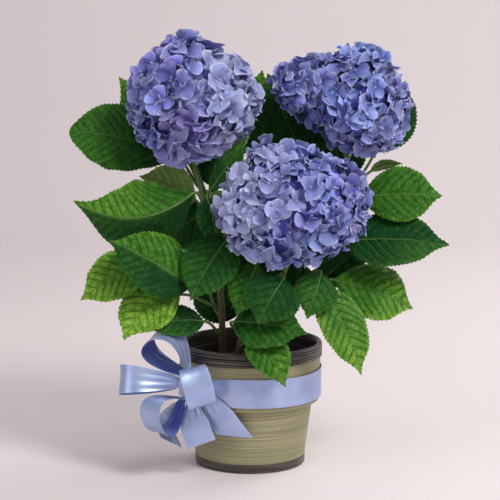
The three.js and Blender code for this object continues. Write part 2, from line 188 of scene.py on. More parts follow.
def spline(points, samples):
    """A centripetal Catmull-Rom curve through points, sampled evenly in its parameter."""
    points = np.asarray(points, float)
    before = 2 * points[0] - points[1]
    after = 2 * points[-1] - points[-2]
    padded = np.vstack([before, points, after])
    made = []
    for u in np.linspace(0, len(points) - 1, samples):
        i = min(int(u), len(points) - 2)
        p0, p1, p2, p3 = padded[i : i + 4]
        d0, d1, d2 = (max(np.linalg.norm(b - a) ** 0.5, 1e-4) for a, b in ((p0, p1), (p1, p2), (p2, p3)))
        t1 = ((p1 - p0) / d0 - (p2 - p0) / (d0 + d1) + (p2 - p1) / d1) * d1
        t2 = ((p2 - p1) / d1 - (p3 - p1) / (d1 + d2) + (p3 - p2) / d2) * d1
        w = u - i
        square, cube = 3 * (p2 - p1) - 2 * t1 - t2, 2 * (p1 - p2) + t1 + t2
        made.append(p1 + t1 * w + square * w**2 + cube * w**3)
    return np.array(made)


def bezier(p0, p1, p2, p3, u):
    """Points of a cubic Bezier curve at each parameter u."""
    u = u[:, None]
    return (1 - u) ** 3 * p0 + 3 * (1 - u) ** 2 * u * p1 + 3 * (1 - u) * u**2 * p2 + u**3 * p3


def revolved(profile, segments):
    """Rings of points from a profile of (radius, height) turned about Z."""
    r, z = np.asarray(profile, float).T
    turn = np.linspace(0, 2 * np.pi, segments, endpoint=False)
    height = np.broadcast_to(z[:, None], (len(r), segments))
    return np.stack([r[:, None] * np.cos(turn), r[:, None] * np.sin(turn), height], -1)


def ball_lines(rows, columns, margin):
    """Latitudes and longitudes of a ball's grid, the latitudes stopping a margin short of the poles."""
    return np.linspace(margin, np.pi - margin, rows), np.linspace(0, 2 * np.pi, columns, endpoint=False)


def ball_direction(lat, lon):
    return np.array([math.sin(lat) * math.cos(lon), math.sin(lat) * math.sin(lon), math.cos(lat)])


def closed_faces(rows, columns):
    """Faces of a grid of rings, with its first and last ring closed."""
    faces = grid_faces(rows, columns, wrap=True).tolist()
    return faces + [list(range(columns - 1, -1, -1)), list(range((rows - 1) * columns, rows * columns))]


def rounded(profile, radius, steps=4):
    """A profile with each inner corner rounded to a radius, or as much as its sides allow."""
    profile = [np.asarray(p, float) for p in profile]
    made = [profile[0]]
    for a, b, c in zip(profile, profile[1:], profile[2:]):
        ab, bc = np.linalg.norm(b - a), np.linalg.norm(c - b)
        reach = min(radius, ab / 2, bc / 2)
        start, end = b + (a - b) / ab * reach, b + (c - b) / bc * reach
        for i in range(steps + 1):
            w = i / steps
            made.append((1 - w) ** 2 * start + 2 * w * (1 - w) * b + w**2 * end)
    made.append(profile[-1])
    return made


def closely(profile, step):
    """A profile with points added so that none are more than a step apart."""
    made = [profile[0]]
    for a, b in zip(profile, profile[1:]):
        parts = max(1, math.ceil(np.linalg.norm(b - a) / step))
        made.extend(a + (b - a) * (i + 1) / parts for i in range(parts))
    return made


# ---- materials ----

# Settings that many nodes share: a smooth map range, and a mix of colours, whose inputs are A and B.
SMOOTH = {"interpolation_type": "SMOOTHSTEP"}
COLOURS = {"data_type": "RGBA", "output": 2}
TIMES = {**COLOURS, "blend_type": "MULTIPLY"}
A, B = 6, 7


def add(tree, kind, inputs=(), output=0, **settings):
    """Adds a node with its settings, its input values and its links. Returns one output, where it has any."""
    made = tree.nodes.new("ShaderNode" + kind)
    for key, value in settings.items():
        setattr(made, key, value)
    for key, value in inputs.items() if isinstance(inputs, dict) else enumerate(inputs):
        if isinstance(value, bpy.types.NodeSocket):
            tree.links.new(value, made.inputs[key])
        else:
            made.inputs[key].default_value = value
    return made.outputs[output] if made.outputs else None


def blank(name):
    """An empty material, its node tree and the object coordinates in it."""
    material = bpy.data.materials.new(name)
    material.use_nodes = True
    material.node_tree.nodes.clear()
    return material, material.node_tree, add(material.node_tree, "TexCoord", output="Object")


def finish_surface(tree, colour, finish, height, strength, depth_mm, glow=0.0):
    """The end of each material: its relief, its gloss and how much light passes through it."""
    bump = add(tree, "Bump", {"Height": height, "Strength": strength, "Distance": depth_mm * MM})
    shader = add(tree, "BsdfPrincipled", {"Base Color": colour, "Normal": bump, **finish})
    if glow:
        through = add(tree, "BsdfTranslucent", {"Color": colour})
        shader = add(tree, "MixShader", [glow, shader, through])
    add(tree, "OutputMaterial", {"Surface": shader})


def leaf_blade(name, upper):
    """Living leaf: the upper side is waxed and dark with pale sunken veins, the underside matt and pale."""
    material, tree, place = blank(name)
    tint = add(tree, "Attribute", output="Color", attribute_name="tint")
    bold = add(tree, "Attribute", output="Fac", attribute_name="bold")
    vein = add(tree, "Attribute", output="Vector", attribute_name="vein")
    order, across, rung = add(tree, "SeparateXYZ", [vein]).node.outputs
    # Side veins lie on the whole numbers of the order, 10.5 mm apart, and are drawn about 1 mm wide.
    off_vein = add(tree, "Math", [order, 0.5], operation="PINGPONG")
    off_rib = add(tree, "Math", [across], operation="ABSOLUTE")
    side = add(tree, "MapRange", [off_vein, 0.015, 0.075, 1, 0], **SMOOTH)
    rib = add(tree, "MapRange", [off_rib, 0.1, 0.95, 1, 0], **SMOOTH)
    # The finest net of veins has cells of about 2.5 to 3 mm.
    cells = add(tree, "Mapping", {"Vector": vein, "Scale": (3.6, 0.4, 0.0)})
    apart = {"output": "Distance", "feature": "DISTANCE_TO_EDGE"}
    net = add(tree, "TexVoronoi", {"Vector": cells, "Scale": 1.0}, **apart)
    mesh = add(tree, "MapRange", [net, 0.02, 0.18, 1, 0], **SMOOTH)
    # Between the veins are patches of about 7 mm: a painted highlight, bright, where the blade rises, and
    # painted shade, deep green, where it sinks.
    mottle = add(tree, "TexNoise", {"Vector": place, "Scale": 150.0, "Detail": 6.0, "Roughness": 0.65})
    # sunken is the painted shade colour and bright the painted highlight colour.
    sunken = add(tree, "Mix", {0: 1.0, A: tint, B: rgba((0.22, 0.42, 0.20))}, **TIMES)
    bright = add(tree, "Mix", {0: 1.0, A: tint, B: rgba((1.22, 1.16, 1.05))}, **TIMES)
    raised = add(tree, "MapRange", [mottle, 0.34, 0.62, 0.25, 1], **SMOOTH)
    body = add(tree, "Mix", {0: raised, A: sunken, B: bright}, **COLOURS)
    # Painted shade in the valleys beside the side veins and rungs.
    beside_vein = add(tree, "MapRange", [off_vein, 0.02, 0.15, 0.5, 0], **SMOOTH)
    beside_rung = add(tree, "MapRange", [rung, 0.15, 0.6, 0.5, 0], **SMOOTH)
    valley_shade = add(tree, "Math", [beside_vein, beside_rung], operation="MAXIMUM")
    body = add(tree, "Mix", {0: valley_shade, A: body, B: sunken}, **COLOURS)
    # Painted shade along the sunken fine net of veins.
    net_shade = add(tree, "Math", [mesh, 0.5], operation="MULTIPLY")
    body = add(tree, "Mix", {0: net_shade, A: body, B: sunken}, **COLOURS)
    if not upper:
        body = add(tree, "Mix", {0: 0.55, A: body, B: rgba(linear("#8CA36A"))}, **COLOURS)
    # Side veins are drawn pale, and the painted rib sheen makes them paler still where that half catches the
    # light.
    paleness = add(tree, "Math", [bold, 0.35], operation="ADD") if upper else 0.8
    ribs = add(tree, "Math", [side, paleness], operation="MULTIPLY")
    lines = add(tree, "Math", [rib, ribs], operation="MAXIMUM")
    drawn = add(tree, "Math", [lines, 0.6], operation="MULTIPLY")
    pale = add(tree, "Mix", {0: 0.5, A: tint, B: rgba(linear("#A9C58A"))}, **COLOURS)
    colour = add(tree, "Mix", {0: drawn, A: body, B: pale}, **COLOURS)
    # Veins sink into the upper side and stand out under the blade.
    ridge = add(tree, "Math", [rib, side], operation="MAXIMUM")
    fine = add(tree, "Math", [mesh, 0.6], operation="MULTIPLY")
    ridges = add(tree, "Math", [ridge, fine], operation="ADD")
    signed = add(tree, "Math", [ridges, -1.0 if upper else 1.0], operation="MULTIPLY")
    grainy = add(tree, "Math", [mottle, 0.9], operation="MULTIPLY")
    height = add(tree, "Math", [signed, grainy], operation="ADD")
    wax = {"Roughness": 0.42 if upper else 0.65, "IOR": 1.42, "Specular IOR Level": 0.2}
    finish_surface(tree, colour, wax, height, 0.9, 1.1, glow=0.14)
    return material


def plant_skin(name, low, high, foot, head, rough=0.55):
    """Stem skin that runs from one colour to another between two heights, with fine lengthwise streaks."""
    material, tree, place = blank(name)
    height = add(tree, "SeparateXYZ", [place], output=2)
    climb = add(tree, "MapRange", [height, foot * MM, head * MM, 0, 1], **SMOOTH)
    mix = add(tree, "Mix", {0: climb, A: rgba(low), B: rgba(high)}, **COLOURS)
    # Streaks about 1 mm wide and 11 mm long.
    grown = add(tree, "Mapping", {"Vector": place, "Scale": (900, 900, 90)})
    streak = add(tree, "TexNoise", {"Vector": grown, "Scale": 1.0, "Detail": 4.0})
    shade = add(tree, "MapRange", [streak, 0.3, 0.7, 0.6, 1.25], **SMOOTH)
    grey = add(tree, "CombineColor", [shade, shade, shade])
    colour = add(tree, "Mix", {0: 1.0, A: mix, B: grey}, **TIMES)
    finish_surface(tree, colour, {"Roughness": rough, "IOR": 1.45}, streak, 0.5, 0.6)
    return material


def sepal_tissue(name):
    """Hydrangea sepals: thin, soft and slightly translucent, with a fan of fine darker veins."""
    material, tree, place = blank(name)
    tint = add(tree, "Attribute", output="Color", attribute_name="tint")
    span = add(tree, "Attribute", output="Vector", attribute_name="span")
    along, across, _ = add(tree, "SeparateXYZ", [span]).node.outputs
    # About eleven veins fan out over a sepal 17 mm wide.
    veins = add(tree, "Math", [across, 5.5], operation="MULTIPLY")
    off_vein = add(tree, "Math", [veins, 0.5], operation="PINGPONG")
    fan = add(tree, "MapRange", [off_vein, 0.0, 0.24, 1, 0], **SMOOTH)
    # Soft blotches of about 4 mm.
    mottle = add(tree, "TexNoise", {"Vector": place, "Scale": 260.0, "Detail": 3.0})
    outward = add(tree, "MapRange", [along, 0.1, 0.9, 0.30, 0.06], **SMOOTH)
    blotch = add(tree, "MapRange", [mottle, 0.35, 0.7, 0.0, 0.10], **SMOOTH)
    dim = add(tree, "Math", [fan, outward], operation="MULTIPLY")
    dim = add(tree, "Math", [dim, blotch], operation="ADD")
    deep = add(tree, "Mix", {0: 1.0, A: tint, B: rgba(linear("#5A53A8"))}, **TIMES)
    colour = add(tree, "Mix", {0: dim, A: tint, B: deep}, **COLOURS)
    petal = {"Roughness": 0.58, "IOR": 1.4, "Sheen Weight": 0.15}
    finish_surface(tree, colour, petal, fan, 0.25, 0.3, glow=0.16)
    return material


def brushed_glaze(name, base, dark, light):
    """Stoneware glaze wiped round the pot by hand: fine level streaks, some paler, with a dull sheen."""
    material, tree, place = blank(name)
    # Streaks 1 mm high and broader ones 5 mm high, that run about a third of the way round the pot.
    wiped = add(tree, "Mapping", {"Vector": place, "Scale": (5, 5, 900)})
    swept_on = add(tree, "Mapping", {"Vector": place, "Scale": (5, 5, 190)})
    fine = add(tree, "TexNoise", {"Vector": wiped, "Scale": 1.0, "Detail": 6.0, "Roughness": 0.65})
    broad = add(tree, "TexNoise", {"Vector": swept_on, "Scale": 1.0, "Detail": 3.0})
    # Specks of iron about 1 mm across.
    speck = add(tree, "TexNoise", {"Vector": place, "Scale": 900.0, "Detail": 2.0})
    colour = rgba(base)
    for pattern, low, high, most, glaze in (
        (broad, 0.4, 0.7, 0.6, dark),
        (fine, 0.5, 0.66, 0.8, light),
        (fine, 0.42, 0.3, 0.7, dark),
        (speck, 0.62, 0.75, 0.5, dark),
    ):
        share = add(tree, "MapRange", [pattern, low, high, 0, most], **SMOOTH)
        colour = add(tree, "Mix", {0: share, A: colour, B: rgba(glaze)}, **COLOURS)
    rough = add(tree, "MapRange", [fine, 0.3, 0.7, 0.34, 0.55], **SMOOTH)
    finish_surface(tree, colour, {"Roughness": rough, "IOR": 1.5}, fine, 0.55, 0.7)
    return material


def iron_glaze(name, base, worn):
    """Dark iron glaze: nearly black brown, thin and paler where it breaks over ridges and edges."""
    material, tree, place = blank(name)
    # Streaks about 2.5 mm high and 70 mm long.
    wiped = add(tree, "Mapping", {"Vector": place, "Scale": (14, 14, 420)})
    streak = add(tree, "TexNoise", {"Vector": wiped, "Scale": 1.0, "Detail": 5.0})
    edge = add(tree, "NewGeometry", output="Pointiness")
    thin = add(tree, "MapRange", [streak, 0.4, 0.72, 0, 0.8], **SMOOTH)
    broken = add(tree, "MapRange", [edge, 0.5, 0.56, 0, 0.6], **SMOOTH)
    colour = add(tree, "Mix", {0: thin, A: rgba(base), B: rgba(worn)}, **COLOURS)
    colour = add(tree, "Mix", {0: broken, A: colour, B: rgba(worn)}, **COLOURS)
    finish_surface(tree, colour, {"Roughness": 0.36, "IOR": 1.5}, streak, 0.35, 0.6)
    return material


def satin(name, warp, deep, shine=0.5):
    """Polyester satin ribbon: smooth floats of warp that shine, and a faint lengthwise grain."""
    material, tree, place = blank(name)
    span = add(tree, "Attribute", output="Vector", attribute_name="span")
    # Warp threads are 0.15 mm apart, too fine to show, so the grain is drawn at about 0.8 mm.
    drawn = add(tree, "Mapping", {"Vector": span, "Scale": (0.03, 1.2, 1)})
    thread = add(tree, "TexNoise", {"Vector": drawn, "Scale": 1.0, "Detail": 3.0})
    # Slack patches of about 30 mm.
    cloud = add(tree, "TexNoise", {"Vector": place, "Scale": 35.0, "Detail": 2.0})
    lined = add(tree, "MapRange", [thread, 0.3, 0.7, 0, 0.35], **SMOOTH)
    slack = add(tree, "MapRange", [cloud, 0.35, 0.65, 0, 0.4], **SMOOTH)
    share = add(tree, "Math", [lined, slack], operation="ADD")
    colour = add(tree, "Mix", {0: share, A: rgba(warp), B: rgba(deep)}, **COLOURS)
    finish_surface(tree, colour, {"Metallic": shine, "Roughness": 0.36, "IOR": 1.54}, thread, 0.12, 0.3)
    return material


def potting_mix(name, peat, bark):
    """Damp peat and bark fines: matt, almost black, with paler fibres and crumbs."""
    material, tree, place = blank(name)
    # Crumbs of about 2.4 mm, and darker and paler patches of about 6 mm.
    crumb = add(tree, "TexVoronoi", {"Vector": place, "Scale": 420.0}).node.outputs
    patch = add(tree, "TexNoise", {"Vector": place, "Scale": 160.0, "Detail": 6.0})
    tone = add(tree, "SeparateColor", [crumb["Color"]])
    barky = add(tree, "MapRange", [patch, 0.45, 0.7, 0, 1], **SMOOTH)
    fibre = add(tree, "MapRange", [tone, 0.86, 0.95, 0, 1], **SMOOTH)
    colour = add(tree, "Mix", {0: barky, A: rgba(peat), B: rgba(bark)}, **COLOURS)
    colour = add(tree, "Mix", {0: fibre, A: colour, B: rgba(linear("#8A6B4A"))}, **COLOURS)
    finish_surface(tree, colour, {"Roughness": 0.93, "IOR": 1.4}, crumb["Distance"], 0.9, 1.5)
    return material


def moulded_plastic(name, base):
    """Thin polypropylene nursery pot, injection moulded: dull, faintly orange-peeled and dusty."""
    material, tree, place = blank(name)
    # Orange peel of about 1.4 mm, and dust in patches of about 17 mm.
    peel = add(tree, "TexNoise", {"Vector": place, "Scale": 700.0, "Detail": 2.0})
    dust = add(tree, "TexNoise", {"Vector": place, "Scale": 60.0, "Detail": 6.0})
    dusty = add(tree, "MapRange", [dust, 0.5, 0.75, 0, 0.5], **SMOOTH)
    colour = add(tree, "Mix", {0: dusty, A: rgba(base), B: rgba(linear("#5B4A3A"))}, **COLOURS)
    finish_surface(tree, colour, {"Roughness": 0.5, "IOR": 1.49}, peel, 0.2, 0.3)
    return material


def table_top(name, base):
    """Satin painted board: pale, with the faintest roller texture."""
    material, tree, place = blank(name)
    # Roller stipple of about 4.5 mm.
    roller = add(tree, "TexNoise", {"Vector": place, "Scale": 220.0, "Detail": 3.0})
    stipple = add(tree, "MapRange", [roller, 0.3, 0.7, 0, 0.25], **SMOOTH)
    colour = add(tree, "Mix", {0: stipple, A: rgba(base), B: rgba(linear("#E2DCDD"))}, **COLOURS)
    finish_surface(tree, colour, {"Roughness": 0.5, "IOR": 1.45}, roller, 0.05, 0.4)
    return material


# ---- shape charts, in millimetres ----

STEMS = {
    "left": [(-30, -18, 90), (-30, -18, 125), (-33, -12, 200), (-44, -2, 276), (-60, 2, 330)],
    "front": [(-13, -33, 90), (-13, -33, 125), (-2, -42, 170), (14, -52, 202), (37, -62, 223)],
    "right": [(14, 8, 90), (14, 8, 125), (34, 10, 196), (74, 17, 274), (108, 24, 334)],
}

# Each leaf: the stem and height it grows from, the blade's base and tip, the way its upper side looks, its
# width, and how pale it is from 0, deep green, to 1, young green; this paleness is partly the leaf's age and
# partly painted light and shade for where the leaf hangs. Then its own shape, where it isn't plain:
#   arch and bend lift the midrib and bow it sideways, and open lifts each half by so many degrees,
#   cup curls its edges down, belly and taper set where it is widest and how full it stays,
#   drip fines its tip, shade paints shade (below 0) and light (above 0) onto each half, and
#   bold paints a sheen that brings out the side veins of each half.
LEAVES = {
    "left_top": (
        "left", 308, (-86, 48, 338), (-199, 26, 369), (-0.1, -0.75, 0.66), 90, 0.3,
        {"arch": 8, "belly": 1.2, "taper": 0.55, "drip": 0.15},
    ),
    "left_crown": ("left", 298, (-80, 68, 342), (-149, 80, 423), (-0.6, -0.4, 0.6), 58, 0.6, {}),
    "left_mid": (
        "left", 278, (-62, -26, 304), (-190, -38, 298), (0, -0.85, 0.5), 92, 0.48,
        {"bend": -27, "open": (-60, 4), "cup": 0.14, "taper": 0.9, "shade": (-0.35, 0.06)},
    ),
    "left_under": ("left", 260, (-60, 4, 293), (-121, 18, 319), (-0.1, 0.85, 0.45), 56, 0.85, {}),
    "left_curl": (
        "left", 288, (-44, -26, 306), (-4, -35, 368), (-0.3, -0.9, 0.2), 24, 0.2,
        {"bend": 3, "open": (10, 20)},
    ),
    "left_outer": ("left", 226, (-110, -36, 233), (-184, -48, 192), (-0.3, -0.8, 0.5), 62, 0.75, {}),
    "left_low": (
        "left", 198, (-64, -56, 207), (-149, -70, 260), (0.1, -0.82, 0.56), 74, 0.4,
        {"shade": (-0.35, 0.12)},
    ),
    "left_bottom": ("left", 178, (-76, -46, 196), (-135, -80, 154), (-0.1, -0.8, 0.6), 62, 0.88, {"bend": 9}),
    "left_rim": ("left", 148, (-50, -52, 168), (-114, -70, 166), (0, -0.72, 0.7), 42, 0.12, {}),
    "centre_left": ("left", 222, (-24, -48, 258), (-64, -84, 198), (-0.2, -0.9, 0.4), 66, 0.12, {}),
    "front_hang": ("front", 204, (36, -84, 220), (8, -104, 176), (-0.1, -0.85, 0.5), 66, 0.08, {"arch": 4}),
    "front_right": ("front", 194, (76, -64, 222), (61, -94, 180), (0.2, -0.85, 0.5), 48, 0.22, {}),
    "front_low": ("front", 156, (-18, -66, 170), (60, -92, 164), (0, -0.8, 0.6), 62, 0.25, {}),
    "front_rim": ("front", 140, (2, -68, 157), (38, -100, 108), (0.1, -0.75, 0.65), 48, 0.5, {"arch": 11}),
    "right_droop": ("front", 182, (77, -54, 206), (121, -86, 117), (0.5, -0.75, 0.4), 62, 0.66, {}),
    "right_low": (
        "right", 176, (92, -20, 208), (179, -28, 179), (0.1, -0.76, 0.64), 74, 0.62,
        {"belly": 1.05},
    ),
    "right_mid": (
        "right", 226, (104, -14, 250), (215, -38, 251), (0.1, -0.75, 0.65), 74, 0.05,
        {"shade": (-0.05, 0.1), "bold": (0.1, 1.0)},
    ),
    "right_upper": (
        "right", 262, (120, 0, 296), (210, -10, 301), (0.1, -0.85, 0.5), 68, 0.45,
        {"belly": 1.0},
    ),
    "right_small": ("right", 300, (134, 28, 322), (168, 22, 334), (0.1, 0.5, 0.85), 24, 0.6, {"arch": 3}),
    "right_crown": ("right", 288, (142, 84, 338), (177, 96, 418), (-0.1, -0.97, 0.2), 66, 0.0, {}),
    "back_centre": ("right", 276, (66, 62, 318), (20, 68, 428), (0, -0.97, 0.2), 88, 0.12, {"arch": -4}),
    "back_left": ("left", 244, (-80, 56, 262), (-152, 118, 250), (-0.2, 0.2, 0.95), 76, 0.3, {}),
    "back_right": ("right", 246, (108, 64, 274), (172, 136, 264), (0.2, 0.2, 0.95), 74, 0.25, {}),
    "back_high": ("left", 240, (-24, 66, 284), (-26, 168, 278), (0, 0.25, 0.95), 78, 0.35, {}),
    "back_low_left": ("left", 168, (-62, 50, 200), (-124, 112, 176), (-0.2, 0.3, 0.9), 66, 0.45, {}),
    "back_low_mid": ("right", 156, (8, 72, 186), (6, 160, 156), (0, 0.4, 0.9), 68, 0.3, {}),
    "back_low_right": ("right", 190, (84, 54, 210), (152, 104, 186), (0.3, 0.2, 0.9), 68, 0.35, {}),
    "left_inner": ("left", 262, (-44, 22, 281), (-106, 34, 238), (0, -0.92, 0.35), 54, 0.08, {}),
    "left_shade": ("left", 252, (-44, 44, 304), (-30, 82, 362), (-0.1, -0.95, 0.3), 60, 0.08, {}),
    "centre_inner": ("left", 250, (14, -14, 254), (-10, -32, 188), (0, -0.9, 0.4), 58, 0.06, {}),
    "centre_bright": ("front", 166, (8, -62, 232), (-15, -80, 180), (-0.1, -0.85, 0.5), 42, 0.4, {}),
    "low_inner": ("right", 138, (-11, 30, 162), (-68, 44, 190), (0, -0.9, 0.4), 56, 0.04, {}),
    "right_inner": ("right", 196, (80, 22, 200), (128, 28, 240), (0.1, -0.9, 0.4), 58, 0.08, {}),
    "front_inner": ("front", 188, (58, -22, 226), (38, -34, 178), (0, -0.9, 0.4), 50, 0.15, {}),
    "right_shade": ("right", 256, (102, 64, 304), (94, 98, 388), (0, -0.97, 0.2), 70, 0.05, {"arch": -4}),
    "back_top": ("right", 252, (-8, 86, 336), (14, 98, 430), (0, -0.97, 0.15), 62, 0.5, {"arch": -3}),
    "back_mid": ("right", 212, (50, 64, 236), (62, 160, 222), (0, 0.25, 0.95), 76, 0.25, {}),
    "back_inner": ("left", 210, (-40, 62, 228), (-58, 146, 208), (0, 0.3, 0.93), 72, 0.3, {}),
    "left_dark": ("left", 222, (-12, 48, 262), (-60, 54, 233), (0, -0.95, 0.3), 50, 0.05, {}),
    "centre_dark": ("right", 168, (-6, 10, 228), (-22, 14, 168), (0, -0.93, 0.35), 38, 0.04, {}),
    "left_hang": ("left", 274, (-46, -35, 300), (-35, -39, 250), (0.1, -0.9, 0.35), 36, 0.06, {}),
}
STEM_RADIUS = 4.2
STEM_TOP_RADIUS = 3.0
PETIOLE_GAP = 0.45
TIP_DROOP = 4
BLADE_THICKNESS = 0.55
POINTS_PER_TOOTH = 4
HALF_COLUMNS = 17
RIB_SAMPLES = 30


# ---- settings ----


def colour_prop(name, description, hex_colour):
    """A colour setting whose default is an sRGB hex value."""
    return bpy.props.FloatVectorProperty(
        name=name, description=description, subtype="COLOR", size=3, min=0, max=1, default=linear(hex_colour)
    )


def length_prop(name, description, mm):
    """A length setting whose default is given in millimetres."""
    return bpy.props.FloatProperty(
        name=name, description=description, unit="LENGTH", subtype="DISTANCE", precision=4, default=mm * MM
    )


class HYDRANGEA_PG_plant(bpy.types.PropertyGroup):
    deep_green: colour_prop("Deep green", "Upper side of an old leaf in shade", "#175526")
    mid_green: colour_prop("Mid green", "Upper side of a full-grown leaf", "#4C8C2E")
    young_green: colour_prop("Young green", "Upper side of a young or sunlit leaf", "#A3D452")
    bark: colour_prop("Bark", "Foot of the stems", "#5B4A30")
    stem_green: colour_prop("Stem green", "Top of the stems and the leaf stalks", "#5C7A38")
    tooth: length_prop("Tooth length", "Spacing of the teeth along a leaf's edge", 4.2)
    vein: length_prop("Vein spacing", "Spacing of the side veins along the midrib", 10.5)
    quilting: length_prop("Quilting", "How far the leaf swells between its side veins", 1.5)


class HYDRANGEA_PG_flower(bpy.types.PropertyGroup):
    blue: colour_prop("Blue", "The bluest sepals", "#93AEF4")
    violet: colour_prop("Violet", "The most violet sepals", "#9584DA")
    silver: colour_prop("Silver", "Faded sepals and pale margins", "#DEE9F8")
    throat_shade: colour_prop("Throat", "Where the sepals meet, and the depths between florets", "#4446A4")
    sepal: length_prop("Sepal", "Length of a usual sepal", 16.5)
    florets: bpy.props.IntProperty(
        name="Florets", description="Florets on one flower head", default=225, min=20, max=400
    )


class HYDRANGEA_PG_pot(bpy.types.PropertyGroup):
    glaze: colour_prop("Glaze", "Wiped stoneware glaze of the body", "#938F6C")
    glaze_dark: colour_prop("Glaze shadow", "Where the glaze lies thick", "#77734F")
    glaze_pale: colour_prop("Glaze streak", "Where the glaze is wiped thin", "#B8B391")
    iron: colour_prop("Iron glaze", "Dark foot, lip and inside", "#2F2A27")
    iron_worn: colour_prop("Worn iron glaze", "Iron glaze where it breaks", "#6B625A")
    height: length_prop("Height", "Height of the cover pot", 137)


class HYDRANGEA_PG_ribbon(bpy.types.PropertyGroup):
    warp: colour_prop("Satin", "Face of the satin", "#B4C3E6")
    deep: colour_prop("Satin shade", "Satin where the threads turn away", "#8EA2D8")
    back: colour_prop("Back of the satin", "Duller reverse of the ribbon", "#4F63BC")
    width: length_prop("Width", "Width of the ribbon", 32)
    thickness: length_prop("Thickness", "Thickness of the ribbon", 0.35)


class HYDRANGEA_PG_stage(bpy.types.PropertyGroup):
    table: colour_prop("Table", "Table and backdrop", "#EDE4E5")
    key: bpy.props.FloatProperty(
        name="Key light", description="Power of the main soft light", default=46, unit="POWER"
    )
    fill: bpy.props.FloatProperty(
        name="Fill light", description="Power of the filling light", default=9, unit="POWER"
    )
    room: bpy.props.FloatProperty(
        name="Room light", description="Strength of the even light of the room", default=0.42
    )


# ---- leaves ----


def stem_line(key, samples):
    """Points up the middle of a stem."""
    return spline(STEMS[key], samples)


def stem_at(key, height):
    """Where a stem is at a height in millimetres, which way it runs there and its radius."""
    line = stem_line(key, 400)
    i = int(np.clip(np.searchsorted(line[:, 2], height), 1, len(line) - 2))
    along = unit(line[i + 1] - line[i - 1])
    share = i / (len(line) - 1)
    return line[i], along, STEM_RADIUS + (STEM_TOP_RADIUS - STEM_RADIUS) * share


def blade_shape(t, belly, taper, drip):
    """Half-width along the blade, as a share of its widest; drip narrows the last quarter into a fine tip."""
    body = np.maximum(0, np.sin(np.pi * np.clip(t, 0, 1) ** belly)) ** taper
    return body * (1 - drip * ramp(t, 0.74, 1))


class Leaf:
    """The midrib, frame and widths of one leaf of the chart."""

    def __init__(self, entry):
        self.stem, self.at, base, tip, face, self.width, self.pale, more = entry
        self.base, tip, face = (np.asarray(p, float) for p in (base, tip, face))
        self.chord = tip - self.base
        self.length = np.linalg.norm(self.chord)
        self.ahead = self.chord / self.length
        self.face = square_to(self.ahead, face)
        self.side = np.cross(self.ahead, self.face)
        self.arch = more.get("arch", 6)
        self.bend = more.get("bend", 0)
        self.open = [math.radians(a) for a in more.get("open", (14, 14))]
        self.cup = more.get("cup", 0.22)
        self.shade = more.get("shade", (0, 0))
        self.bold = more.get("bold", (0, 0))
        self.belly = more.get("belly", 0.82)
        self.taper = more.get("taper", 0.8)
        self.drip = more.get("drip", 0.58)

    def midrib(self, t):
        """Points of the midrib, from 0 at the blade's base to 1 at its tip."""
        t = np.asarray(t, float)[..., None]
        rise = self.arch * 4 * t * (1 - t) - TIP_DROOP * t**3
        return self.base + self.chord * t + self.face * rise + self.side * self.bend * 4 * t * (1 - t)

    def frame(self, t):
        """The directions along the midrib, out of the blade's upper side, and across the blade."""
        along = unit(self.midrib(t + 0.01) - self.midrib(t - 0.01))
        up = square_to(along, np.broadcast_to(self.face, along.shape))
        return along, up, np.cross(along, up)

    def petiole(self, samples=16):
        """Points of the stalk, from just off the stem to the blade's base."""
        foot, along, radius = stem_at(self.stem, self.at)
        out = square_to(along, self.base - foot)
        start = foot + out * (radius + PETIOLE_GAP)
        span = np.linalg.norm(self.base - start)
        slope = self.frame(np.array([0.0]))[0][0]
        u = np.linspace(0, 1, samples)
        return bezier(start, start + out * span * 0.3, self.base - slope * span * 0.35, self.base, u)


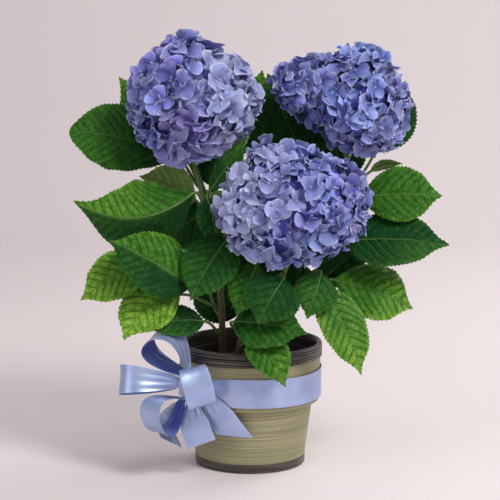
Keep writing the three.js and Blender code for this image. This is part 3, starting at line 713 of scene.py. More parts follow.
def leaf_piece(name, plant, materials, seed):
    """One leaf: a toothed, quilted blade with its midrib and petiole."""
    leaf = Leaf(LEAVES[name])
    rng = np.random.default_rng(seed)
    teeth = max(12, round(leaf.length / (plant.tooth / MM)))
    rows = teeth * POINTS_PER_TOOTH + 1
    t = np.linspace(0, 1, rows)
    s = np.linspace(-1, 1, 2 * HALF_COLUMNS + 1)
    s = np.sign(s) * np.abs(s) ** 0.92
    T, S = np.meshgrid(t, s, indexing="ij")

    # Teeth rise slowly and fall sharply towards the tip, and stagger from side to side.
    half = np.maximum(0.35, leaf.width / 2 * blade_shape(t, leaf.belly, leaf.taper, leaf.drip))
    phase = np.stack([np.mod(np.arange(rows) / POINTS_PER_TOOTH + shift, 1) for shift in (0, 0.5)], -1)
    tooth_reach = np.where(phase < 0.8, phase / 0.8, (1 - phase) / 0.2)
    vary = 0.75 + 0.5 * rng.random((rows, 2))
    room = ramp(t, 0.04, 0.16) * ramp(1 - t, 0.0, 0.05)
    tooth = (tooth_reach - 0.35) * 1.9 * room[:, None] * vary
    edge = np.where(S < 0, tooth[:, :1], tooth[:, 1:]) * np.abs(S) ** 7
    out = half[:, None] * np.abs(S) + edge

    _, up, across = leaf.frame(t)
    lift = np.where(S < 0, leaf.open[0], leaf.open[1])
    sink = half[:, None] * (np.abs(S) * np.sin(lift) - leaf.cup * S**2)

    # Side veins leave the midrib at nearly 60 degrees and curve towards the tip. Rungs join them every 4.6 mm
    # or so, and between both the blade is quilted.
    x = T * leaf.length
    y = half[:, None] * S
    spacing = plant.vein / MM
    start = x - 0.62 * np.abs(y) - 0.35 * y**2 / max(leaf.width / 2, 1)
    order = start / spacing + np.where(S < 0, 0.15, -0.2)
    swell = np.sin(np.pi * np.mod(order, 1)) ** 0.45
    rungs = np.abs(np.sin(np.pi * (y / 4.6 + 0.35 * np.sin(2.1 * order) + 0.5 * np.sin(order)))) ** 0.5
    fade = ramp(np.abs(S), 0.0, 0.12) * ramp(1 - np.abs(S), 0.0, 0.25) * ramp(half, 2, 14)[:, None]
    relief = plant.quilting / MM * (swell - 0.75 + 0.32 * (rungs - 0.6) * swell) * fade
    relief += 0.5 * ramp(np.abs(y), 0.3, 3.0) * fade
    # The whole blade is a little wavy, and most at its edge.
    wave = grain(np.stack([T * 3, S * 1.2, np.zeros_like(T)], -1), 1.0, seed * 1.7)
    ruffle = grain(np.stack([T * 9, np.sign(S), np.zeros_like(T)], -1), 1.0, seed * 0.9 + 5)
    relief += wave * leaf.width * 0.035 * np.abs(S) + ruffle * leaf.width * 0.03 * np.abs(S) ** 3

    points = (
        leaf.midrib(t)[:, None]
        + across[:, None] * (out * np.cos(lift) * np.sign(S))[..., None]
        + up[:, None] * (sink + relief)[..., None]
    )
    normals = unit(np.cross(np.gradient(points, axis=0), np.gradient(points, axis=1)))
    normals *= np.sign(dot(normals, up[:, None]).mean())

    deep, mid, young = (np.array(c[:]) for c in (plant.deep_green, plant.mid_green, plant.young_green))
    pale = leaf.pale + 0.16 * grain(np.stack([T * 2.2, S * 1.1, T * 0], -1), 1.0, seed * 3.1)
    pale += 0.3 * (T - 0.5) + 0.12 * ramp(np.abs(S), 0.75, 1.0)
    # Painted light on the quilted swells and painted shade in the hollows between the veins and rungs.
    pale += (0.26 * swell * (0.5 + 0.5 * rungs) - 0.22) * fade
    # The chart's shade paints shade onto a half where it is below 0 and light where it is above 0.
    pale += np.where(S < 0, leaf.shade[0], leaf.shade[1]) * ramp(np.abs(S), 0.0, 0.15)
    pale = np.clip(pale, 0, 1)[..., None]
    tint = np.where(pale < 0.5, deep + (mid - deep) * pale * 2, mid + (young - mid) * (pale * 2 - 1))

    made = Sheets()
    vein = np.stack([order, y, 1 - (1 - rungs) * fade], -1)
    # A painted sheen: the chart can make the side veins of one half paler, as if those ribs caught the light.
    bold = np.where(S < 0, leaf.bold[0], leaf.bold[1])[..., None] * np.ones(3)
    made.put_sheet(points, normals, BLADE_THICKNESS, slots=(0, 1), tint=tint, vein=vein, bold=bold)

    # The stalk runs on under the blade as the raised midrib.
    rib_t = np.linspace(0.03, 0.97, RIB_SAMPLES)
    rib = leaf.midrib(rib_t) - leaf.frame(rib_t)[1] * np.linspace(0.5, 0.2, RIB_SAMPLES)[:, None]
    stalk = leaf.petiole()
    radius = np.concatenate([np.linspace(2.0, 1.5, len(stalk)), np.linspace(1.35, 0.35, RIB_SAMPLES)])
    tube, faces = swept(np.concatenate([stalk, rib]), radius, 10, leaf.side)
    # The stalk is paler with its leaf's paleness, so it shares the leaf's painted light and shade.
    stalk_tint = np.array(plant.stem_green[:]) * (0.8 + 0.5 * leaf.pale)
    made.put(tube, faces, 2, tint=stalk_tint, vein=(0.5, 9, 1), bold=0.0)
    return stand_for(made.finish(name + "_leaf", materials, crease=55), "leaf_" + name)


class HYDRANGEA_OT_leaves(bpy.types.Operator):
    """Grow every leaf from its stem"""

    bl_idname = "hydrangea.leaves"
    bl_label = "Leaves"

    def execute(self, context):
        plant = context.scene.hydrangea_plant
        materials = [
            leaf_blade("hydrangea_leaf_upper", True),
            leaf_blade("hydrangea_leaf_underside", False),
            plant_skin("leaf_stalk_skin", plant.stem_green[:], plant.stem_green[:], 100, 400),
        ]
        for seed, name in enumerate(LEAVES):
            leaf_piece(name, plant, materials, seed + 1)
        return {"FINISHED"}


# ---- stems ----


class HYDRANGEA_OT_stems(bpy.types.Operator):
    """Grow the flowering stems, a little swollen where leaves leave them"""

    bl_idname = "hydrangea.stems"
    bl_label = "Stems"

    def execute(self, context):
        plant = context.scene.hydrangea_plant
        skin = plant_skin("green_hydrangea_bark", plant.bark[:], plant.stem_green[:], 125, 260, 0.6)
        for key in STEMS:
            line = stem_line(key, 120)
            share = np.linspace(0, 1, len(line))
            radius = STEM_RADIUS + (STEM_TOP_RADIUS - STEM_RADIUS) * share
            for height in [at for stem, at, *_ in LEAVES.values() if stem == key]:
                radius = radius + 0.35 * np.exp(-(((line[:, 2] - height) / 4) ** 2))
            radius = radius + 0.15 * grain(line, 0.09, 4)
            made = Sheets()
            points, faces = swept(line, radius, 18, (1, 0, 0))
            made.put(points, faces)
            stand_for(made.finish(key + "_stem", [skin]), "stem_" + key)
        return {"FINISHED"}


# ---- flower heads ----


def head_tree(node):
    """A head's CAD solid for casting rays at, in metres."""
    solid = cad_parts[node]
    points = [solid.matrix_world @ v.co for v in solid.data.vertices]
    return BVHTree.FromPolygons(points, [tuple(p.vertices) for p in solid.data.polygons])


def surface(tree, centre, direction):
    """How far the head's surface is from its centre that way, in millimetres, and the surface's normal."""
    hit, normal, _, reach = tree.ray_cast(Vector(centre * MM), Vector(direction))
    if hit is None:
        raise RuntimeError("a ray from inside the flower head missed it")
    normal = np.array(normal)
    return reach / MM, normal if np.dot(normal, direction) > 0 else -normal


# One sepal on a flat grid: a rounded lozenge with a narrow claw. A runs along it and B across.
SEPAL_ROWS = 8
SEPAL_COLUMNS = 7
SEPAL_TURN = np.linspace(0, np.pi, SEPAL_ROWS)
SEPAL_A = (1 - np.cos(SEPAL_TURN)) / 2
SEPAL_B = np.linspace(-1, 1, SEPAL_COLUMNS)
SEPAL_W = np.sin(SEPAL_TURN) ** 0.85 * (0.62 + 0.38 * ramp(SEPAL_A, 0.0, 0.5))
SEPAL_W[[0, -1]] = (0.10, 0.06)
SEPAL_THICKNESS = 0.4
SEPAL_ROOM = 4.0
SPILL = 0.45
PLACES_PER_FLORET = 7
SHELL_DEPTH = 11
BUD_SIDES = 6
BUD_RINGS = ((1.0, 0.2), (1.9, 1.2), (1.7, 2.6), (0.6, 3.5))
STALK = {"tint": (0.2, 0.25, 0.2), "span": (1, 0.5, 0)}


def sepal(length, width, rise, curl, cup, wave, twist):
    """A grid of points of a sepal that lies along +X and rises along +Z, with its A and B there."""
    A, B = np.meshgrid(SEPAL_A, SEPAL_B, indexing="ij")
    w = SEPAL_W[:, None] * np.ones_like(B)
    x = A * length * (1 - 0.07 * B**2 * ramp(A, 0.6, 1))
    y = B * w * width / 2
    z = length * (rise * A - curl * A**2) + cup * length * (B * w) ** 2
    z = z + wave[0] * length * np.sin(wave[1] * B * w + wave[2]) * A**1.5 + twist * B * w * A * length
    return np.stack([x, y, z], -1), A, B * w


def floret(made, centre, normal, size, spread, hue, silver, rng, flower, hold):
    """Four sepals round a small closed bud."""
    side = square_to(normal, rng.normal(size=3))
    over = np.cross(normal, side)
    colours = flower.blue, flower.violet, flower.silver, flower.throat_shade
    blue, violet, pale, throat_shade = (np.array(c[:]) for c in colours)
    body = (blue + (violet - blue) * hue) * rng.uniform(0.72, 1.2)
    for k in range(4):
        turn = k * np.pi / 2 + rng.normal(0, 0.12)
        length = size * rng.uniform(0.88, 1.1) * (1.0 if k % 2 else 0.94)
        width = length * rng.uniform(0.98, 1.22)
        wave = (rng.uniform(0.06, 0.16), rng.uniform(3.0, 7.0), rng.uniform(0, 6))
        rise = spread + rng.normal(0, 0.34)
        grid, A, B = sepal(
            length, width, rise, rng.uniform(-0.1, 0.65), rng.uniform(-0.1, 0.5), wave, rng.normal(0, 0.3)
        )
        ahead = side * math.cos(turn) + over * math.sin(turn)
        beside = np.cross(normal, ahead)
        lift = 0.9 if k % 2 else 0.2
        flat = grid[..., :1] * ahead + grid[..., 1:2] * beside
        points = hold(centre + flat + (grid[..., 2:] + lift) * normal)
        normals = unit(np.cross(np.gradient(points, axis=0), np.gradient(points, axis=1)))
        # Painted rim light: each sepal is paler at its margin, and the whole sepal paler still by the floret's
        # silver share.
        margin = ramp(np.maximum(A, np.abs(SEPAL_B)[None] * ramp(A, 0.1, 0.5)), 0.78, 1.0)
        rim = np.clip(margin * rng.uniform(0.2, 0.7) + silver, 0, 1)[..., None]
        # Painted shade: each sepal darkens towards its base, where the sepals meet, to the throat shade
        # colour.
        inner = ramp(A, 0.05, 0.8)[..., None]
        tint = throat_shade + (body * rng.uniform(0.85, 1.12) - throat_shade) * (0.25 + 0.75 * inner)
        tint = tint + (pale - tint) * rim
        span = np.stack([A, B + rng.uniform(0, 1), A * 0], -1)
        made.put_sheet(points, normals, SEPAL_THICKNESS, tint=tint, span=span)
    # The bud: a low bead of six sides.
    turn = np.linspace(0, 2 * np.pi, BUD_SIDES, endpoint=False)
    spokes = [side * math.cos(a) + over * math.sin(a) for a in turn]
    bead = [centre + normal * h + r * spoke for r, h in BUD_RINGS for spoke in spokes]
    faces = closed_faces(len(BUD_RINGS), BUD_SIDES)
    made.put(bead, faces, 0, tint=body * 0.75 + pale * 0.2, span=(1, 0.5, 0))


HEADS = {
    # The centre to cast from, how violet the head is, how silvery and on which side, and its sepals' scale.
    # The silvered side is painted light on the left and right heads, whose right sides face the key and rim
    # lights; on the front head it paints a paler left side.
    "left": ((-63, 0, 404), 0.62, (0.30, 0.9), 1.10),
    "right": ((108, 26, 402), 0.45, (0.12, 0.6), 0.92),
    "front": ((47, -66, 295), 0.42, (0.30, -0.95), 0.92),
}


def reach_table(tree, centre, rows=36, columns=72):
    """How far the head's surface lies from its centre, for rows of latitude and columns of longitude."""
    lat, lon = ball_lines(rows, columns, 0.02)
    return np.array([[surface(tree, centre, ball_direction(a, b))[0] for b in lon] for a in lat])


def held_within(points, centre, table):
    """Points drawn back to just outside the head's surface, as crowding holds the sepals in a real head."""
    rows, columns = table.shape
    away = points - centre
    radius = np.linalg.norm(away, axis=-1)
    i = np.clip(np.arccos(np.clip(away[..., 2] / radius, -1, 1)) / np.pi * (rows - 1), 0, rows - 1.001)
    j = np.mod(np.arctan2(away[..., 1], away[..., 0]), 2 * np.pi) / (2 * np.pi) * columns
    low, left = i.astype(int), j.astype(int) % columns
    down, over = i - low, j - j.astype(int)
    right = (left + 1) % columns
    reach = (table[low, left] * (1 - over) + table[low, right] * over) * (1 - down)
    reach += (table[low + 1, left] * (1 - over) + table[low + 1, right] * over) * down
    limit = reach + SEPAL_ROOM
    kept = np.where(radius > limit, limit + SPILL * (radius - limit), radius)
    return centre + away * (kept / radius)[..., None]


def head_piece(key, flower, materials, seed):
    """One mophead: florets crowded over a rounded cluster of stalks."""
    centre, violet, (silver, silver_side), scale = HEADS[key]
    centre = np.array(centre, float)
    top = np.array(STEMS[key][-1], float)
    node = "flower_head_" + key
    tree = head_tree(node)
    table = reach_table(tree, centre)

    def hold(points):
        return held_within(points, centre, table)

    rng = np.random.default_rng(seed)
    made = Sheets()
    size = flower.sepal / MM * scale
    # Many places on the surface, of which the florets take the ones that lie furthest apart.
    count = flower.florets * PLACES_PER_FLORET
    golden = math.pi * (3 - math.sqrt(5))
    places = []
    for i in range(count):
        z = 1 - 1.9 * (i + 0.5) / count
        ring = math.sqrt(max(0, 1 - z * z))
        direction = np.array([ring * math.cos(i * golden), ring * math.sin(i * golden), z])
        reach, normal = surface(tree, centre, direction)
        places.append((*(centre + direction * reach), *normal, *direction))
    places = np.array(places)
    far = np.full(len(places), np.inf)
    chosen = [0]
    while len(chosen) < flower.florets:
        far = np.minimum(far, np.linalg.norm(places[:, :3] - places[chosen[-1], :3], axis=1))
        chosen.append(int(np.argmax(far)))
    for i in chosen:
        on, normal, direction = places[i, :3], places[i, 3:6], places[i, 6:]
        where = on - unit(direction * 0.5 + normal * 0.5) * rng.uniform(4.0, 13.5)
        facing = unit(direction * 0.3 + normal * 0.7 + rng.normal(0, 0.4, 3))
        patch = 0.5 + 0.5 * float(grain((where * 0.02)[None], 1.0, seed)[0])
        hue = float(np.clip(violet + (patch - 0.5) * 1.3 + rng.normal(0, 0.15), 0, 1))
        # One side of each head is painted paler and more silver, as painted light on the left and right heads.
        # The random part is the florets' own fading.
        silvered_side = float(ramp(np.array(direction[0] * silver_side), -0.1, 0.7))
        bright = silver * silvered_side + max(0, rng.normal(0.02, 0.1))
        wide = size * rng.uniform(0.8, 1.12)
        floret(made, where, facing, wide, rng.uniform(0.0, 0.5), hue, bright, rng, flower, hold)
        # The floret's own stalk, bent back towards the stem.
        foot = centre + (top - centre) * 0.55 + direction * 14
        bow = where * 0.5 + foot * 0.5 + direction * 6
        stalk = bezier(where, where - facing * 6, bow, foot, np.linspace(0, 1, 7))
        made.put(*swept(stalk, np.linspace(0.6, 1.1, 7), 5, (0.3, 0.5, 0.8)), 1, **STALK)
    # A closed shell below the florets stands for the crowd of stalks and older sepals; its blue-violet is
    # painted shade, the colour of the shade seen between florets.
    rows, columns = 26, 40
    shell = []
    for lat, lon in itertools.product(*ball_lines(rows, columns, 0.02)):
        direction = ball_direction(lat, lon)
        reach, _ = surface(tree, centre, direction)
        shell.append(centre + direction * (reach - SHELL_DEPTH + 3 * noise.noise(Vector(direction * 6))))
    made.put(shell, closed_faces(rows, columns), 2, tint=(0.05, 0.05, 0.2), span=(1, 0.5, 0))
    # Branches from the stem's top into the head.
    for k in range(7):
        angle = k / 7 * 2 * math.pi + 0.4
        out = np.array([math.cos(angle), math.sin(angle), 0.6])
        end = centre + (top - centre) * 0.45 + out * 20
        foot, bow = top + (0, 0, 0.5), top + out * 3 + (0, 0, 6)
        branch = bezier(foot, bow, end - (0, 0, 8), end, np.linspace(0, 1, 9))
        made.put(*swept(branch, np.linspace(2.2, 1.2, 9), 8, (0.2, 0.9, 0.1)), 1, **STALK)
    return stand_for(made.finish(key + "_mophead", materials, crease=70), node)


class HYDRANGEA_OT_flower_heads(bpy.types.Operator):
    """Crowd florets over each flower head"""

    bl_idname = "hydrangea.flower_heads"
    bl_label = "Flower heads"

    def execute(self, context):
        flower = context.scene.hydrangea_flower
        plant = context.scene.hydrangea_plant
        materials = [
            sepal_tissue("hydrangea_sepal"),
            plant_skin("floret_stalk_skin", plant.stem_green[:], plant.stem_green[:], 100, 500),
            # The shell's material is painted shade, coloured as the shade seen between florets.
            plant_skin("floret_gap_painted_shade", linear("#4A4EA6"), linear("#5054B0"), 200, 480, 0.9),
        ]
        for seed, key in enumerate(HEADS):
            head_piece(key, flower, materials, 11 + seed)
        return {"FINISHED"}


# ---- pots and soil ----


LIP_FROM = 120.9
LIP_RIBS = 5
RIB_PITCH = 2.9
FOOT_TO = 10.3
SOIL_RADIUS = 66.4
SOIL_LEVEL = 114.6
SOIL_TOP = 117.2
SOIL_DISH = 3.2
CRUMBS = 260
CRUMB_RADIUS = 62
CRUMB_CORNERS = ((1, 0, 0), (-1, 0, 0), (0, 1, 0), (0, -1, 0), (0, 0, 1), (0, 0, -1))
CRUMB_SIDES = ((0, 2, 4), (2, 1, 4), (1, 3, 4), (3, 0, 4), (2, 0, 5), (1, 2, 5), (3, 1, 5), (0, 3, 5))


def lathe_piece(name, node, profile, segments, materials, slot_of, shape=None):
    """A turned piece; slot_of gives a face's material from its radius and height, and shape moves rings."""
    rings = revolved(profile, segments)
    if shape is not None:
        rings = shape(rings)
    inner = rings[1:-1].reshape(-1, 3)
    points = np.concatenate([inner, rings[0][:1], rings[-1][:1]])
    body = grid_faces(len(profile) - 2, segments, wrap=True)[:, ::-1]
    first, last = len(inner), len(inner) + 1
    end = len(inner) - segments
    caps = [[(j + 1) % segments, j, first] for j in range(segments)]
    caps += [[end + j, end + (j + 1) % segments, last] for j in range(segments)]
    made = Sheets()
    made.put(points, [*body, *caps])
    made.slots = [slot_of(math.hypot(p[0], p[1]), p[2]) for p in points[body].mean(1)]
    made.slots += [slot_of(0, height) for height in (profile[0][1], profile[-1][1]) for _ in range(segments)]
    return stand_for(made.finish(name, materials, crease=40), node)


class HYDRANGEA_OT_cover_pot(bpy.types.Operator):
    """Throw the glazed cover pot with its dark foot, collar and ribbed lip"""

    bl_idname = "hydrangea.cover_pot"
    bl_label = "Cover pot"

    def execute(self, context):
        pot = context.scene.hydrangea_pot
        top = pot.height / MM
        outer = [(61, 1.0), (61.3, 9.6), (60.9, 10.2), (69.3, 70.6), (77.2, 72.6), (78.4, 120.6)]
        ribs = []
        for i in range(LIP_RIBS):
            low = LIP_FROM + 0.3 + i * RIB_PITCH
            ribs += [(79.0, low), (80.2, low + 0.8), (80.2, low + 2.0), (79.0, low + 2.8)]
        rim = [(79.6, top - 0.9), (77.6, top), (75.6, top - 0.4), (74.0, top - 2.5)]
        inside = [(71.6, 79), (63.8, 71), (55.4, 10), (52, 8), (0, 8)]
        profile = [(0, 0.6), (54, 0.6), (56, 0), (60, 0), *outer, *ribs, *rim, *inside]
        profile = closely(rounded(profile, 0.9, 3), 1.6)
        profile = [p for i, p in enumerate(profile) if i == 0 or np.linalg.norm(p - profile[i - 1]) > 1e-4]

        def thrown(rings):
            """Faint ridges from the maker's fingers, and a pot that isn't quite round."""
            z = rings[..., 2]
            r = np.hypot(rings[..., 0], rings[..., 1])
            angle = np.arctan2(rings[..., 1], rings[..., 0])
            outside = ramp(r, 58, 60.5) * ramp(z, 11, 15)
            ridge = 0.16 * np.sin(z * 1.35 + 0.6 * np.sin(angle * 2 + 1)) + 0.10 * np.sin(z * 3.1 + angle)
            scale = 1 + outside * (ridge - 0.2) / np.maximum(r, 1)
            rings = rings.copy()
            rings[..., :2] *= scale[..., None]
            return rings

        def slot_of(r, z):
            """Wiped glaze covers the outside of the wall, and dark glaze the foot, lip and inside."""
            outside = r > 56.5 + 0.139 * max(0, z - 10)
            return 0 if outside and FOOT_TO <= z <= LIP_FROM else 1

        materials = [
            brushed_glaze("wiped_stoneware_glaze", pot.glaze[:], pot.glaze_dark[:], pot.glaze_pale[:]),
            iron_glaze("dark_iron_glaze", pot.iron[:], pot.iron_worn[:]),
        ]
        lathe_piece("cover_pot", "ceramic_pot", profile, 180, materials, slot_of, thrown)
        return {"FINISHED"}


class HYDRANGEA_OT_grow_pot(bpy.types.Operator):
    """Mould the thin nursery pot with its rolled rim"""

    bl_idname = "hydrangea.grow_pot"
    bl_label = "Grow pot"

    def execute(self, context):
        plastic = moulded_plastic("moulded_polypropylene", linear("#2A2725"))
        outer = [(0, 8.5), (48, 8.5), (50.1, 10), (66.6, 106), (68.2, 106.8), (69.2, 111), (69.9, 121.5)]
        rim = [(69.6, 122.8), (68.9, 122.8), (68.5, 121), (67.8, 113), (66.2, 108)]
        profile = closely(rounded([*outer, *rim, (65.4, 106), (48.8, 10), (0, 10)], 0.6, 3), 3.0)
        lathe_piece("nursery_pot", "grow_pot", profile, 96, [plastic], lambda r, z: 0)
        return {"FINISHED"}


class HYDRANGEA_OT_soil(bpy.types.Operator):
    """Fill the grow pot with crumbly potting mix"""

    bl_idname = "hydrangea.soil"
    bl_label = "Potting mix"

    def execute(self, context):
        mix = potting_mix("peat_and_bark_potting_mix", linear("#2B1F17"), linear("#54402D"))
        rings, segments = 46, 120
        radii = np.linspace(0.6, SOIL_RADIUS, rings)
        turn = np.linspace(0, 2 * np.pi, segments, endpoint=False)
        x, y = radii[:, None] * np.cos(turn), radii[:, None] * np.sin(turn)
        flat = np.stack([x, y, np.zeros_like(x)], -1)
        # The mix dips at the pot's wall, and is heaped a little round each stem.
        z = SOIL_LEVEL - SOIL_DISH * ramp(radii, 44, 66)[:, None]
        z = z + 1.4 * grain(flat, 0.06) + 1.0 * grain(flat, 0.22, 3)
        z = z + 0.7 * np.maximum(0, grain(flat, 0.6, 7))
        for line in STEMS.values():
            far = np.hypot(x - line[1][0], y - line[1][1])
            z = z + 1.2 * np.exp(-((far / 9) ** 2))
        skirt = [(64.5, 104), (48.4, 11), (0.6, 10.8)]
        lower = [np.stack([r * np.cos(turn), r * np.sin(turn), np.full(segments, h)], -1) for r, h in skirt]
        grid = np.concatenate([np.stack([x, y, np.minimum(z, SOIL_TOP)], -1), np.array(lower)])
        made = Sheets()
        made.put(grid, closed_faces(len(grid), segments))
        # Crumbs of bark and root on the surface.
        rng = np.random.default_rng(5)
        for _ in range(CRUMBS):
            r, a = CRUMB_RADIUS * math.sqrt(rng.random()), rng.uniform(0, 2 * math.pi)
            size = rng.uniform(0.7, 2.3)
            shape = rng.uniform(0.5, 1.0, 3) * size
            height = SOIL_LEVEL + 0.8 - SOIL_DISH * float(ramp(np.array(r), 44, 66))
            corners = np.array(CRUMB_CORNERS, float) * shape + rng.normal(0, 0.15 * size, (6, 3))
            made.put(np.array([r * math.cos(a), r * math.sin(a), height]) + corners, CRUMB_SIDES)
        stand_for(made.finish("potting_mix", [mix], crease=35), "root_ball")
        return {"FINISHED"}


# ---- ribbon ----

BAND_RADIUS = 79.5
BAND_THICKNESS = 0.3
BAND_LOW, BAND_MIDDLE, BAND_HIGH = 77.2, 95.0, 108.6
GATHER_ANGLE = 0.34
RIBBON_COLUMNS = 15
KNOT_ANGLE = math.radians(221.4)
KNOT_HEIGHT = 98.0
KNOT_OUT = np.array([math.cos(KNOT_ANGLE), math.sin(KNOT_ANGLE), 0.0])
KNOT_SIZE = (10.0, 6.5, 11.0)
KNOT = KNOT_OUT * (BAND_RADIUS + 0.4 + KNOT_SIZE[1]) + (0, 0, KNOT_HEIGHT)

# Bow loops: where each leaves the knot, how far it reaches, the way across the ribbon, and how wide it opens.
LOOPS = {
    "upper": ((-3, -3, 14.5), (-35, -2, 43), (0.2, 0.75, 0.6), 42),
    "left": ((-12, -2, 3.5), (-64, -6, 5), (0.05, 0.3, 0.95), 32),
    "lower": ((-9, -6, -13), (-31, -29, -21), (0.72, -0.69, 0), 40),
    "front": ((4, -10, 2), (6, -36, 6), (1, 0.05, 0.25), 42),
}

# Bow tails: the path from the knot to the cut end, the way across there, the width and how the end is cut.
TAILS = {
    "left": (
        [(-2, 3, -13), (-15, 12, -23), (-27, 15, -38), (-27, 12, -52), (-21, 8, -66)],
        (0.8, 0.6, 0), 20, 0.9,
    ),
    "middle": (
        [(2, -8, -14), (3, -16, -28), (7, -20, -44), (13, -21, -60)],
        (0.94, -0.1, 0.35), 32, 0.0,
    ),
    "right": (
        [(12, -8, -7), (22, -15, -16), (32, -17, -29), (41, -16, -42), (49, -14, -53)],
        (0.8, -0.3, 0.6), 32, 0.75,
    ),
}


def ribbon_mesh(name, centres, across, widths, ribbon, materials, crown, cut, folds, seed, face=0):
    """A strip of ribbon along its centre line, with materials[face] on its upper side.

    crown is how far its middle stands up, folds how deeply it pleats where it is narrow, and cut how much its
    end slants. Returns the piece and the strip's own length in metres.
    """
    centres = np.asarray(centres, float)
    along = unit(np.gradient(centres, axis=0))
    over = square_to(along, np.broadcast_to(np.asarray(across, float), along.shape))
    normal = np.cross(along, over)
    v = np.linspace(-1, 1, RIBBON_COLUMNS)
    travelled = np.concatenate([[0], np.cumsum(np.linalg.norm(np.diff(centres, axis=0), axis=1))])
    share = travelled / travelled[-1]
    pinch = 1 - widths / widths.max()
    ripple = folds * pinch[:, None] * np.cos(v * 9.5 + seed)[None]
    spots = np.stack(np.meshgrid(share * 3, v * 0.8, [seed * 1.3], indexing="ij"), -1)[:, :, 0]
    wave = grain(spots, 1.0) * 0.7
    height = crown * (1 - v[None] ** 2) + ripple + wave * (1 - pinch[:, None])
    slide = cut * widths[:, None] / 2 * v[None] * ramp(share, 0.55, 1.0)[:, None]
    points = (
        centres[:, None]
        + over[:, None] * (widths[:, None] / 2 * v)[..., None]
        + normal[:, None] * height[..., None]
        + along[:, None] * slide[..., None]
    )
    normals = unit(np.cross(np.gradient(points, axis=0), np.gradient(points, axis=1)))
    span = np.stack(np.broadcast_arrays(travelled[:, None], v[None] * ribbon.width / MM / 2, 0.0), -1)
    made = Sheets()
    made.put_sheet(points, normals, ribbon.thickness / MM, slots=(face, 1 - face), span=span)
    return made.finish(name, materials, crease=60), travelled[-1] * MM


class HYDRANGEA_OT_ribbon_band(bpy.types.Operator):
    """Stretch the satin ribbon round the pot's collar"""

    bl_idname = "hydrangea.ribbon_band"
    bl_label = "Ribbon band"

    def execute(self, context):
        ribbon = context.scene.hydrangea_ribbon
        silk = satin("polyester_satin", ribbon.warp[:], ribbon.deep[:])
        segments = 260
        turn = np.linspace(0, 2 * np.pi, segments, endpoint=False)[:, None]
        v = np.linspace(0, 1, RIBBON_COLUMNS)[None]
        # The band narrows and pleats where the knot draws it together.
        away = np.abs(np.angle(np.exp(1j * (turn - KNOT_ANGLE))))
        gather = np.exp(-((away / GATHER_ANGLE) ** 2))
        z = BAND_LOW + (BAND_HIGH - BAND_LOW) * v + 0 * turn
        z = z + (BAND_MIDDLE - z) * gather * 0.42 + 0.5 * np.sin(turn * 3 + 1) * (1 - gather)
        ring_x, ring_y = np.cos(turn), np.sin(turn)
        crease = grain(np.stack(np.broadcast_arrays(ring_x * 2, ring_y * 2, v * 2.2), -1), 1.0, 2)
        radius = BAND_RADIUS - 0.05 + 0.28 * crease + gather * (0.9 + 0.9 * np.cos(v * 19 + 6 * turn))
        radius = np.maximum(radius, BAND_RADIUS - 0.4)
        outer, inner = (np.stack([r * ring_x, r * ring_y, z], -1) for r in (radius, radius - BAND_THICKNESS))
        # Four long faces round the pot: the outside, the top edge, the inside and the bottom edge.
        out = np.arange(radius.size).reshape(radius.shape)
        inn = out + radius.size
        out_next, inn_next = np.roll(out, -1, axis=0), np.roll(inn, -1, axis=0)
        quads = [
            (out[:, :-1], out_next[:, :-1], out_next[:, 1:], out[:, 1:]),
            (inn[:, :-1], inn[:, 1:], inn_next[:, 1:], inn_next[:, :-1]),
            (out[:, -1], out_next[:, -1], inn_next[:, -1], inn[:, -1]),
            (out[:, 0], inn[:, 0], inn_next[:, 0], out_next[:, 0]),
        ]
        faces = np.concatenate([np.stack(quad, -1).reshape(-1, 4) for quad in quads])
        span = np.stack(np.broadcast_arrays(turn * BAND_RADIUS, v * ribbon.width / MM, 0.0), -1)
        made = Sheets()
        made.put(np.stack([outer, inner]), faces, 0, span=np.stack([span, span]).reshape(-1, 3))
        piece = stand_for(made.finish("pulled_ribbon_band", [silk], crease=50), "ribbon_band")
        return {"FINISHED"}


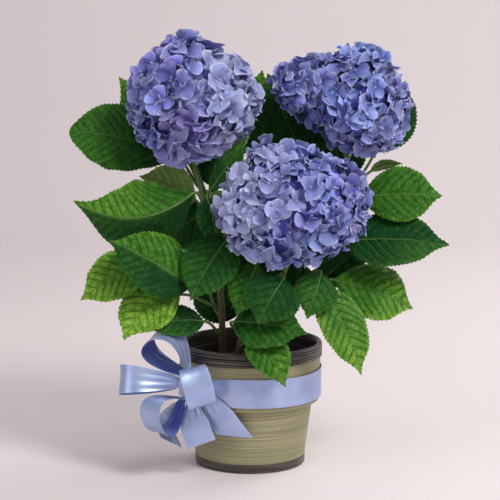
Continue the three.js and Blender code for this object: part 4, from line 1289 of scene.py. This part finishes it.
class HYDRANGEA_OT_bow(bpy.types.Operator):
    """Tie the bow: a wrapped knot, its loops and its cut tails"""

    bl_idname = "hydrangea.bow"
    bl_label = "Bow"

    def execute(self, context):
        ribbon = context.scene.hydrangea_ribbon
        face = bpy.data.materials["polyester_satin"]
        # The reverse of the ribbon, inside the loops and under the tails, is duller, and its darker blue is
        # painted shade.
        silk = [face, satin("satin_reverse_painted_shade", ribbon.back[:], ribbon.deep[:], 0.15)]
        full = ribbon.width / MM
        for seed, (key, (root, reach, across, breadth)) in enumerate(LOOPS.items()):
            reach = np.array(reach, float)
            across = square_to(unit(reach), np.array(across, float))
            rise = unit(np.cross(across, reach))
            u = np.linspace(0, 1, 90)
            out = np.sin(np.pi * u)
            swing = breadth / 2 * np.sin(2 * np.pi * u) + 1.6 * np.cos(np.pi * u)
            centres = KNOT + np.array(root, float) + reach * out[:, None] + rise * swing[:, None]
            widths = 9 + (full - 9) * out**0.57
            name = key + "_bow_loop"
            piece, length = ribbon_mesh(name, centres, across, widths, ribbon, silk, 0.8, 0, 1.3, seed, face=1)
            stand_for(piece, "bow_loop_" + key)
        for seed, (key, (path, across, width, cut)) in enumerate(TAILS.items()):
            centres = spline(np.array(path, float) + KNOT, 60)
            widths = 8 + (width - 8) * np.minimum(1, 1.8 * np.linspace(0, 1, 60)) ** 0.8
            name = key + "_bow_tail"
            piece, length = ribbon_mesh(name, centres, across, widths, ribbon, silk, 0.6, cut, 1.2, seed + 4)
            stand_for(piece, "bow_tail_" + key)
        # The knot: the ribbon wound round the gathered middle.
        rows, columns = 36, 48
        lat, lon = ball_lines(rows, columns, 0.03)
        lat, lon = lat[:, None], lon[None]
        tangent = np.array([-KNOT_OUT[1], KNOT_OUT[0], 0])
        pleat = 1 + 0.05 * np.cos(9 * np.cos(lat) * 1.3 + 0.8 * np.sin(lon))
        a = np.sin(lat) * np.cos(lon) * KNOT_SIZE[0] * pleat
        b = np.sin(lat) * np.sin(lon) * KNOT_SIZE[1] * pleat
        c = np.cos(lat) * KNOT_SIZE[2] * np.ones_like(lon)
        axes = (tangent, KNOT_OUT, np.array([0, 0, 1.0]))
        points = KNOT + sum(axis * reach[..., None] for axis, reach in zip(axes, (a, b, c)))
        span = np.stack(np.broadcast_arrays(lon * 8, lat * 8, 0.0), -1).reshape(-1, 3)
        made = Sheets()
        made.put(points, closed_faces(rows, columns), 0, span=span)
        stand_for(made.finish("wound_bow_knot", [face], crease=60), "bow_knot")
        return {"FINISHED"}


# ---- stage ----


def soft_light(name, place, aim, size, power, colour):
    """A square soft light at a place in metres, turned to face an aim."""
    lamp = bpy.data.lights.new(name, "AREA")
    lamp.shape = "RECTANGLE"
    lamp.size = lamp.size_y = size
    lamp.energy = power
    lamp.color = colour
    light = bpy.data.objects.new(name, lamp)
    light.location = place
    light.rotation_mode = "QUATERNION"
    light.rotation_quaternion = (Vector(aim) - Vector(place)).to_track_quat("-Z", "Y")
    bpy.context.scene.collection.objects.link(light)


class HYDRANGEA_OT_stage(bpy.types.Operator):
    """Lay the table and backdrop, hang the soft lights and set the camera"""

    bl_idname = "hydrangea.stage"
    bl_label = "Stage"

    def execute(self, context):
        stage = context.scene.hydrangea_stage
        painted = table_top("satin_painted_board", stage.table[:])
        # The table runs back to the bend, and curves up there into the backdrop. These are metres.
        bend, curve, half_width = 1.6, 0.8, 3.2
        steps = [(-half_width, 0.0), (bend, 0.0)]
        turn = np.linspace(0.1, math.pi / 2, 12)
        steps += [(bend + curve * math.sin(a), curve - curve * math.cos(a)) for a in turn]
        steps.append((bend + curve, 3.4))
        points = [(x / MM, y / MM, z / MM) for y, z in steps for x in (-half_width, half_width)]
        made = Sheets()
        made.put(points, grid_faces(len(steps), 2)[:, ::-1])
        floor = made.finish("table_and_backdrop", [painted], crease=80)

        middle = (0.0, 0.0, 0.25)
        soft_light("key_window", (1.2, -1.5, 2.0), middle, 0.9, stage.key, (1.0, 0.985, 0.96))
        soft_light("fill_wall", (-1.7, -1.4, 1.1), middle, 1.4, stage.fill, (0.96, 0.98, 1.0))
        soft_light("rim_window", (1.5, 1.2, 1.5), (0.0, 0.0, 0.3), 1.0, stage.key * 0.45, (1.0, 0.99, 0.98))

        world = bpy.data.worlds.new("pale_room")
        world.use_nodes = True
        sky = world.node_tree.nodes["Background"]
        sky.inputs["Color"].default_value = rgba(linear("#EDE6EA"))
        sky.inputs["Strength"].default_value = stage.room
        context.scene.world = world
        # Plain colour handling, so that the blues and greens keep their strength.
        context.scene.view_settings.view_transform = "Standard"

        # The camera stands 2.1 m away, a little above the flowers, and looks down by less than 9 degrees.
        camera = bpy.data.cameras.new("camera")
        camera.lens = 138.8
        camera.sensor_width = 36
        eye = bpy.data.objects.new("camera", camera)
        eye.location = (0, -2.1, 0.56)
        eye.rotation_euler = (math.radians(90 - 8.72), 0, 0)
        context.scene.collection.objects.link(eye)
        context.scene.camera = eye
        return {"FINISHED"}


# ---- panel and registration ----

STEPS = ("cover_pot", "grow_pot", "soil", "stems", "leaves", "flower_heads", "ribbon_band", "bow", "stage")


class HYDRANGEA_PT_sidebar(bpy.types.Panel):
    """The plant's settings and the steps that build it"""

    bl_idname = "HYDRANGEA_PT_sidebar"
    bl_label = "Potted hydrangea"
    bl_space_type = "VIEW_3D"
    bl_region_type = "UI"
    bl_category = "Hydrangea"

    def draw(self, context):
        for step in STEPS:
            self.layout.operator("hydrangea." + step)
        for group in GROUPS:
            box = self.layout.box()
            settings = getattr(context.scene, group)
            for key in settings.bl_rna.properties.keys():
                if key not in {"rna_type", "name"}:
                    box.prop(settings, key)


GROUPS = {
    "hydrangea_plant": HYDRANGEA_PG_plant,
    "hydrangea_flower": HYDRANGEA_PG_flower,
    "hydrangea_pot": HYDRANGEA_PG_pot,
    "hydrangea_ribbon": HYDRANGEA_PG_ribbon,
    "hydrangea_stage": HYDRANGEA_PG_stage,
}

CLASSES = (
    *GROUPS.values(),
    HYDRANGEA_OT_cover_pot,
    HYDRANGEA_OT_grow_pot,
    HYDRANGEA_OT_soil,
    HYDRANGEA_OT_stems,
    HYDRANGEA_OT_leaves,
    HYDRANGEA_OT_flower_heads,
    HYDRANGEA_OT_ribbon_band,
    HYDRANGEA_OT_bow,
    HYDRANGEA_OT_stage,
    HYDRANGEA_PT_sidebar,
)


def register():
    for cls in CLASSES:
        bpy.utils.register_class(cls)
    for name, group in GROUPS.items():
        setattr(bpy.types.Scene, name, bpy.props.PointerProperty(type=group))


def unregister():
    for name in GROUPS:
        delattr(bpy.types.Scene, name)
    for cls in reversed(CLASSES):
        bpy.utils.unregister_class(cls)


def main():
    register()
    for step in STEPS:
        getattr(bpy.ops.hydrangea, step)()


if __name__ == "__main__":
    main()
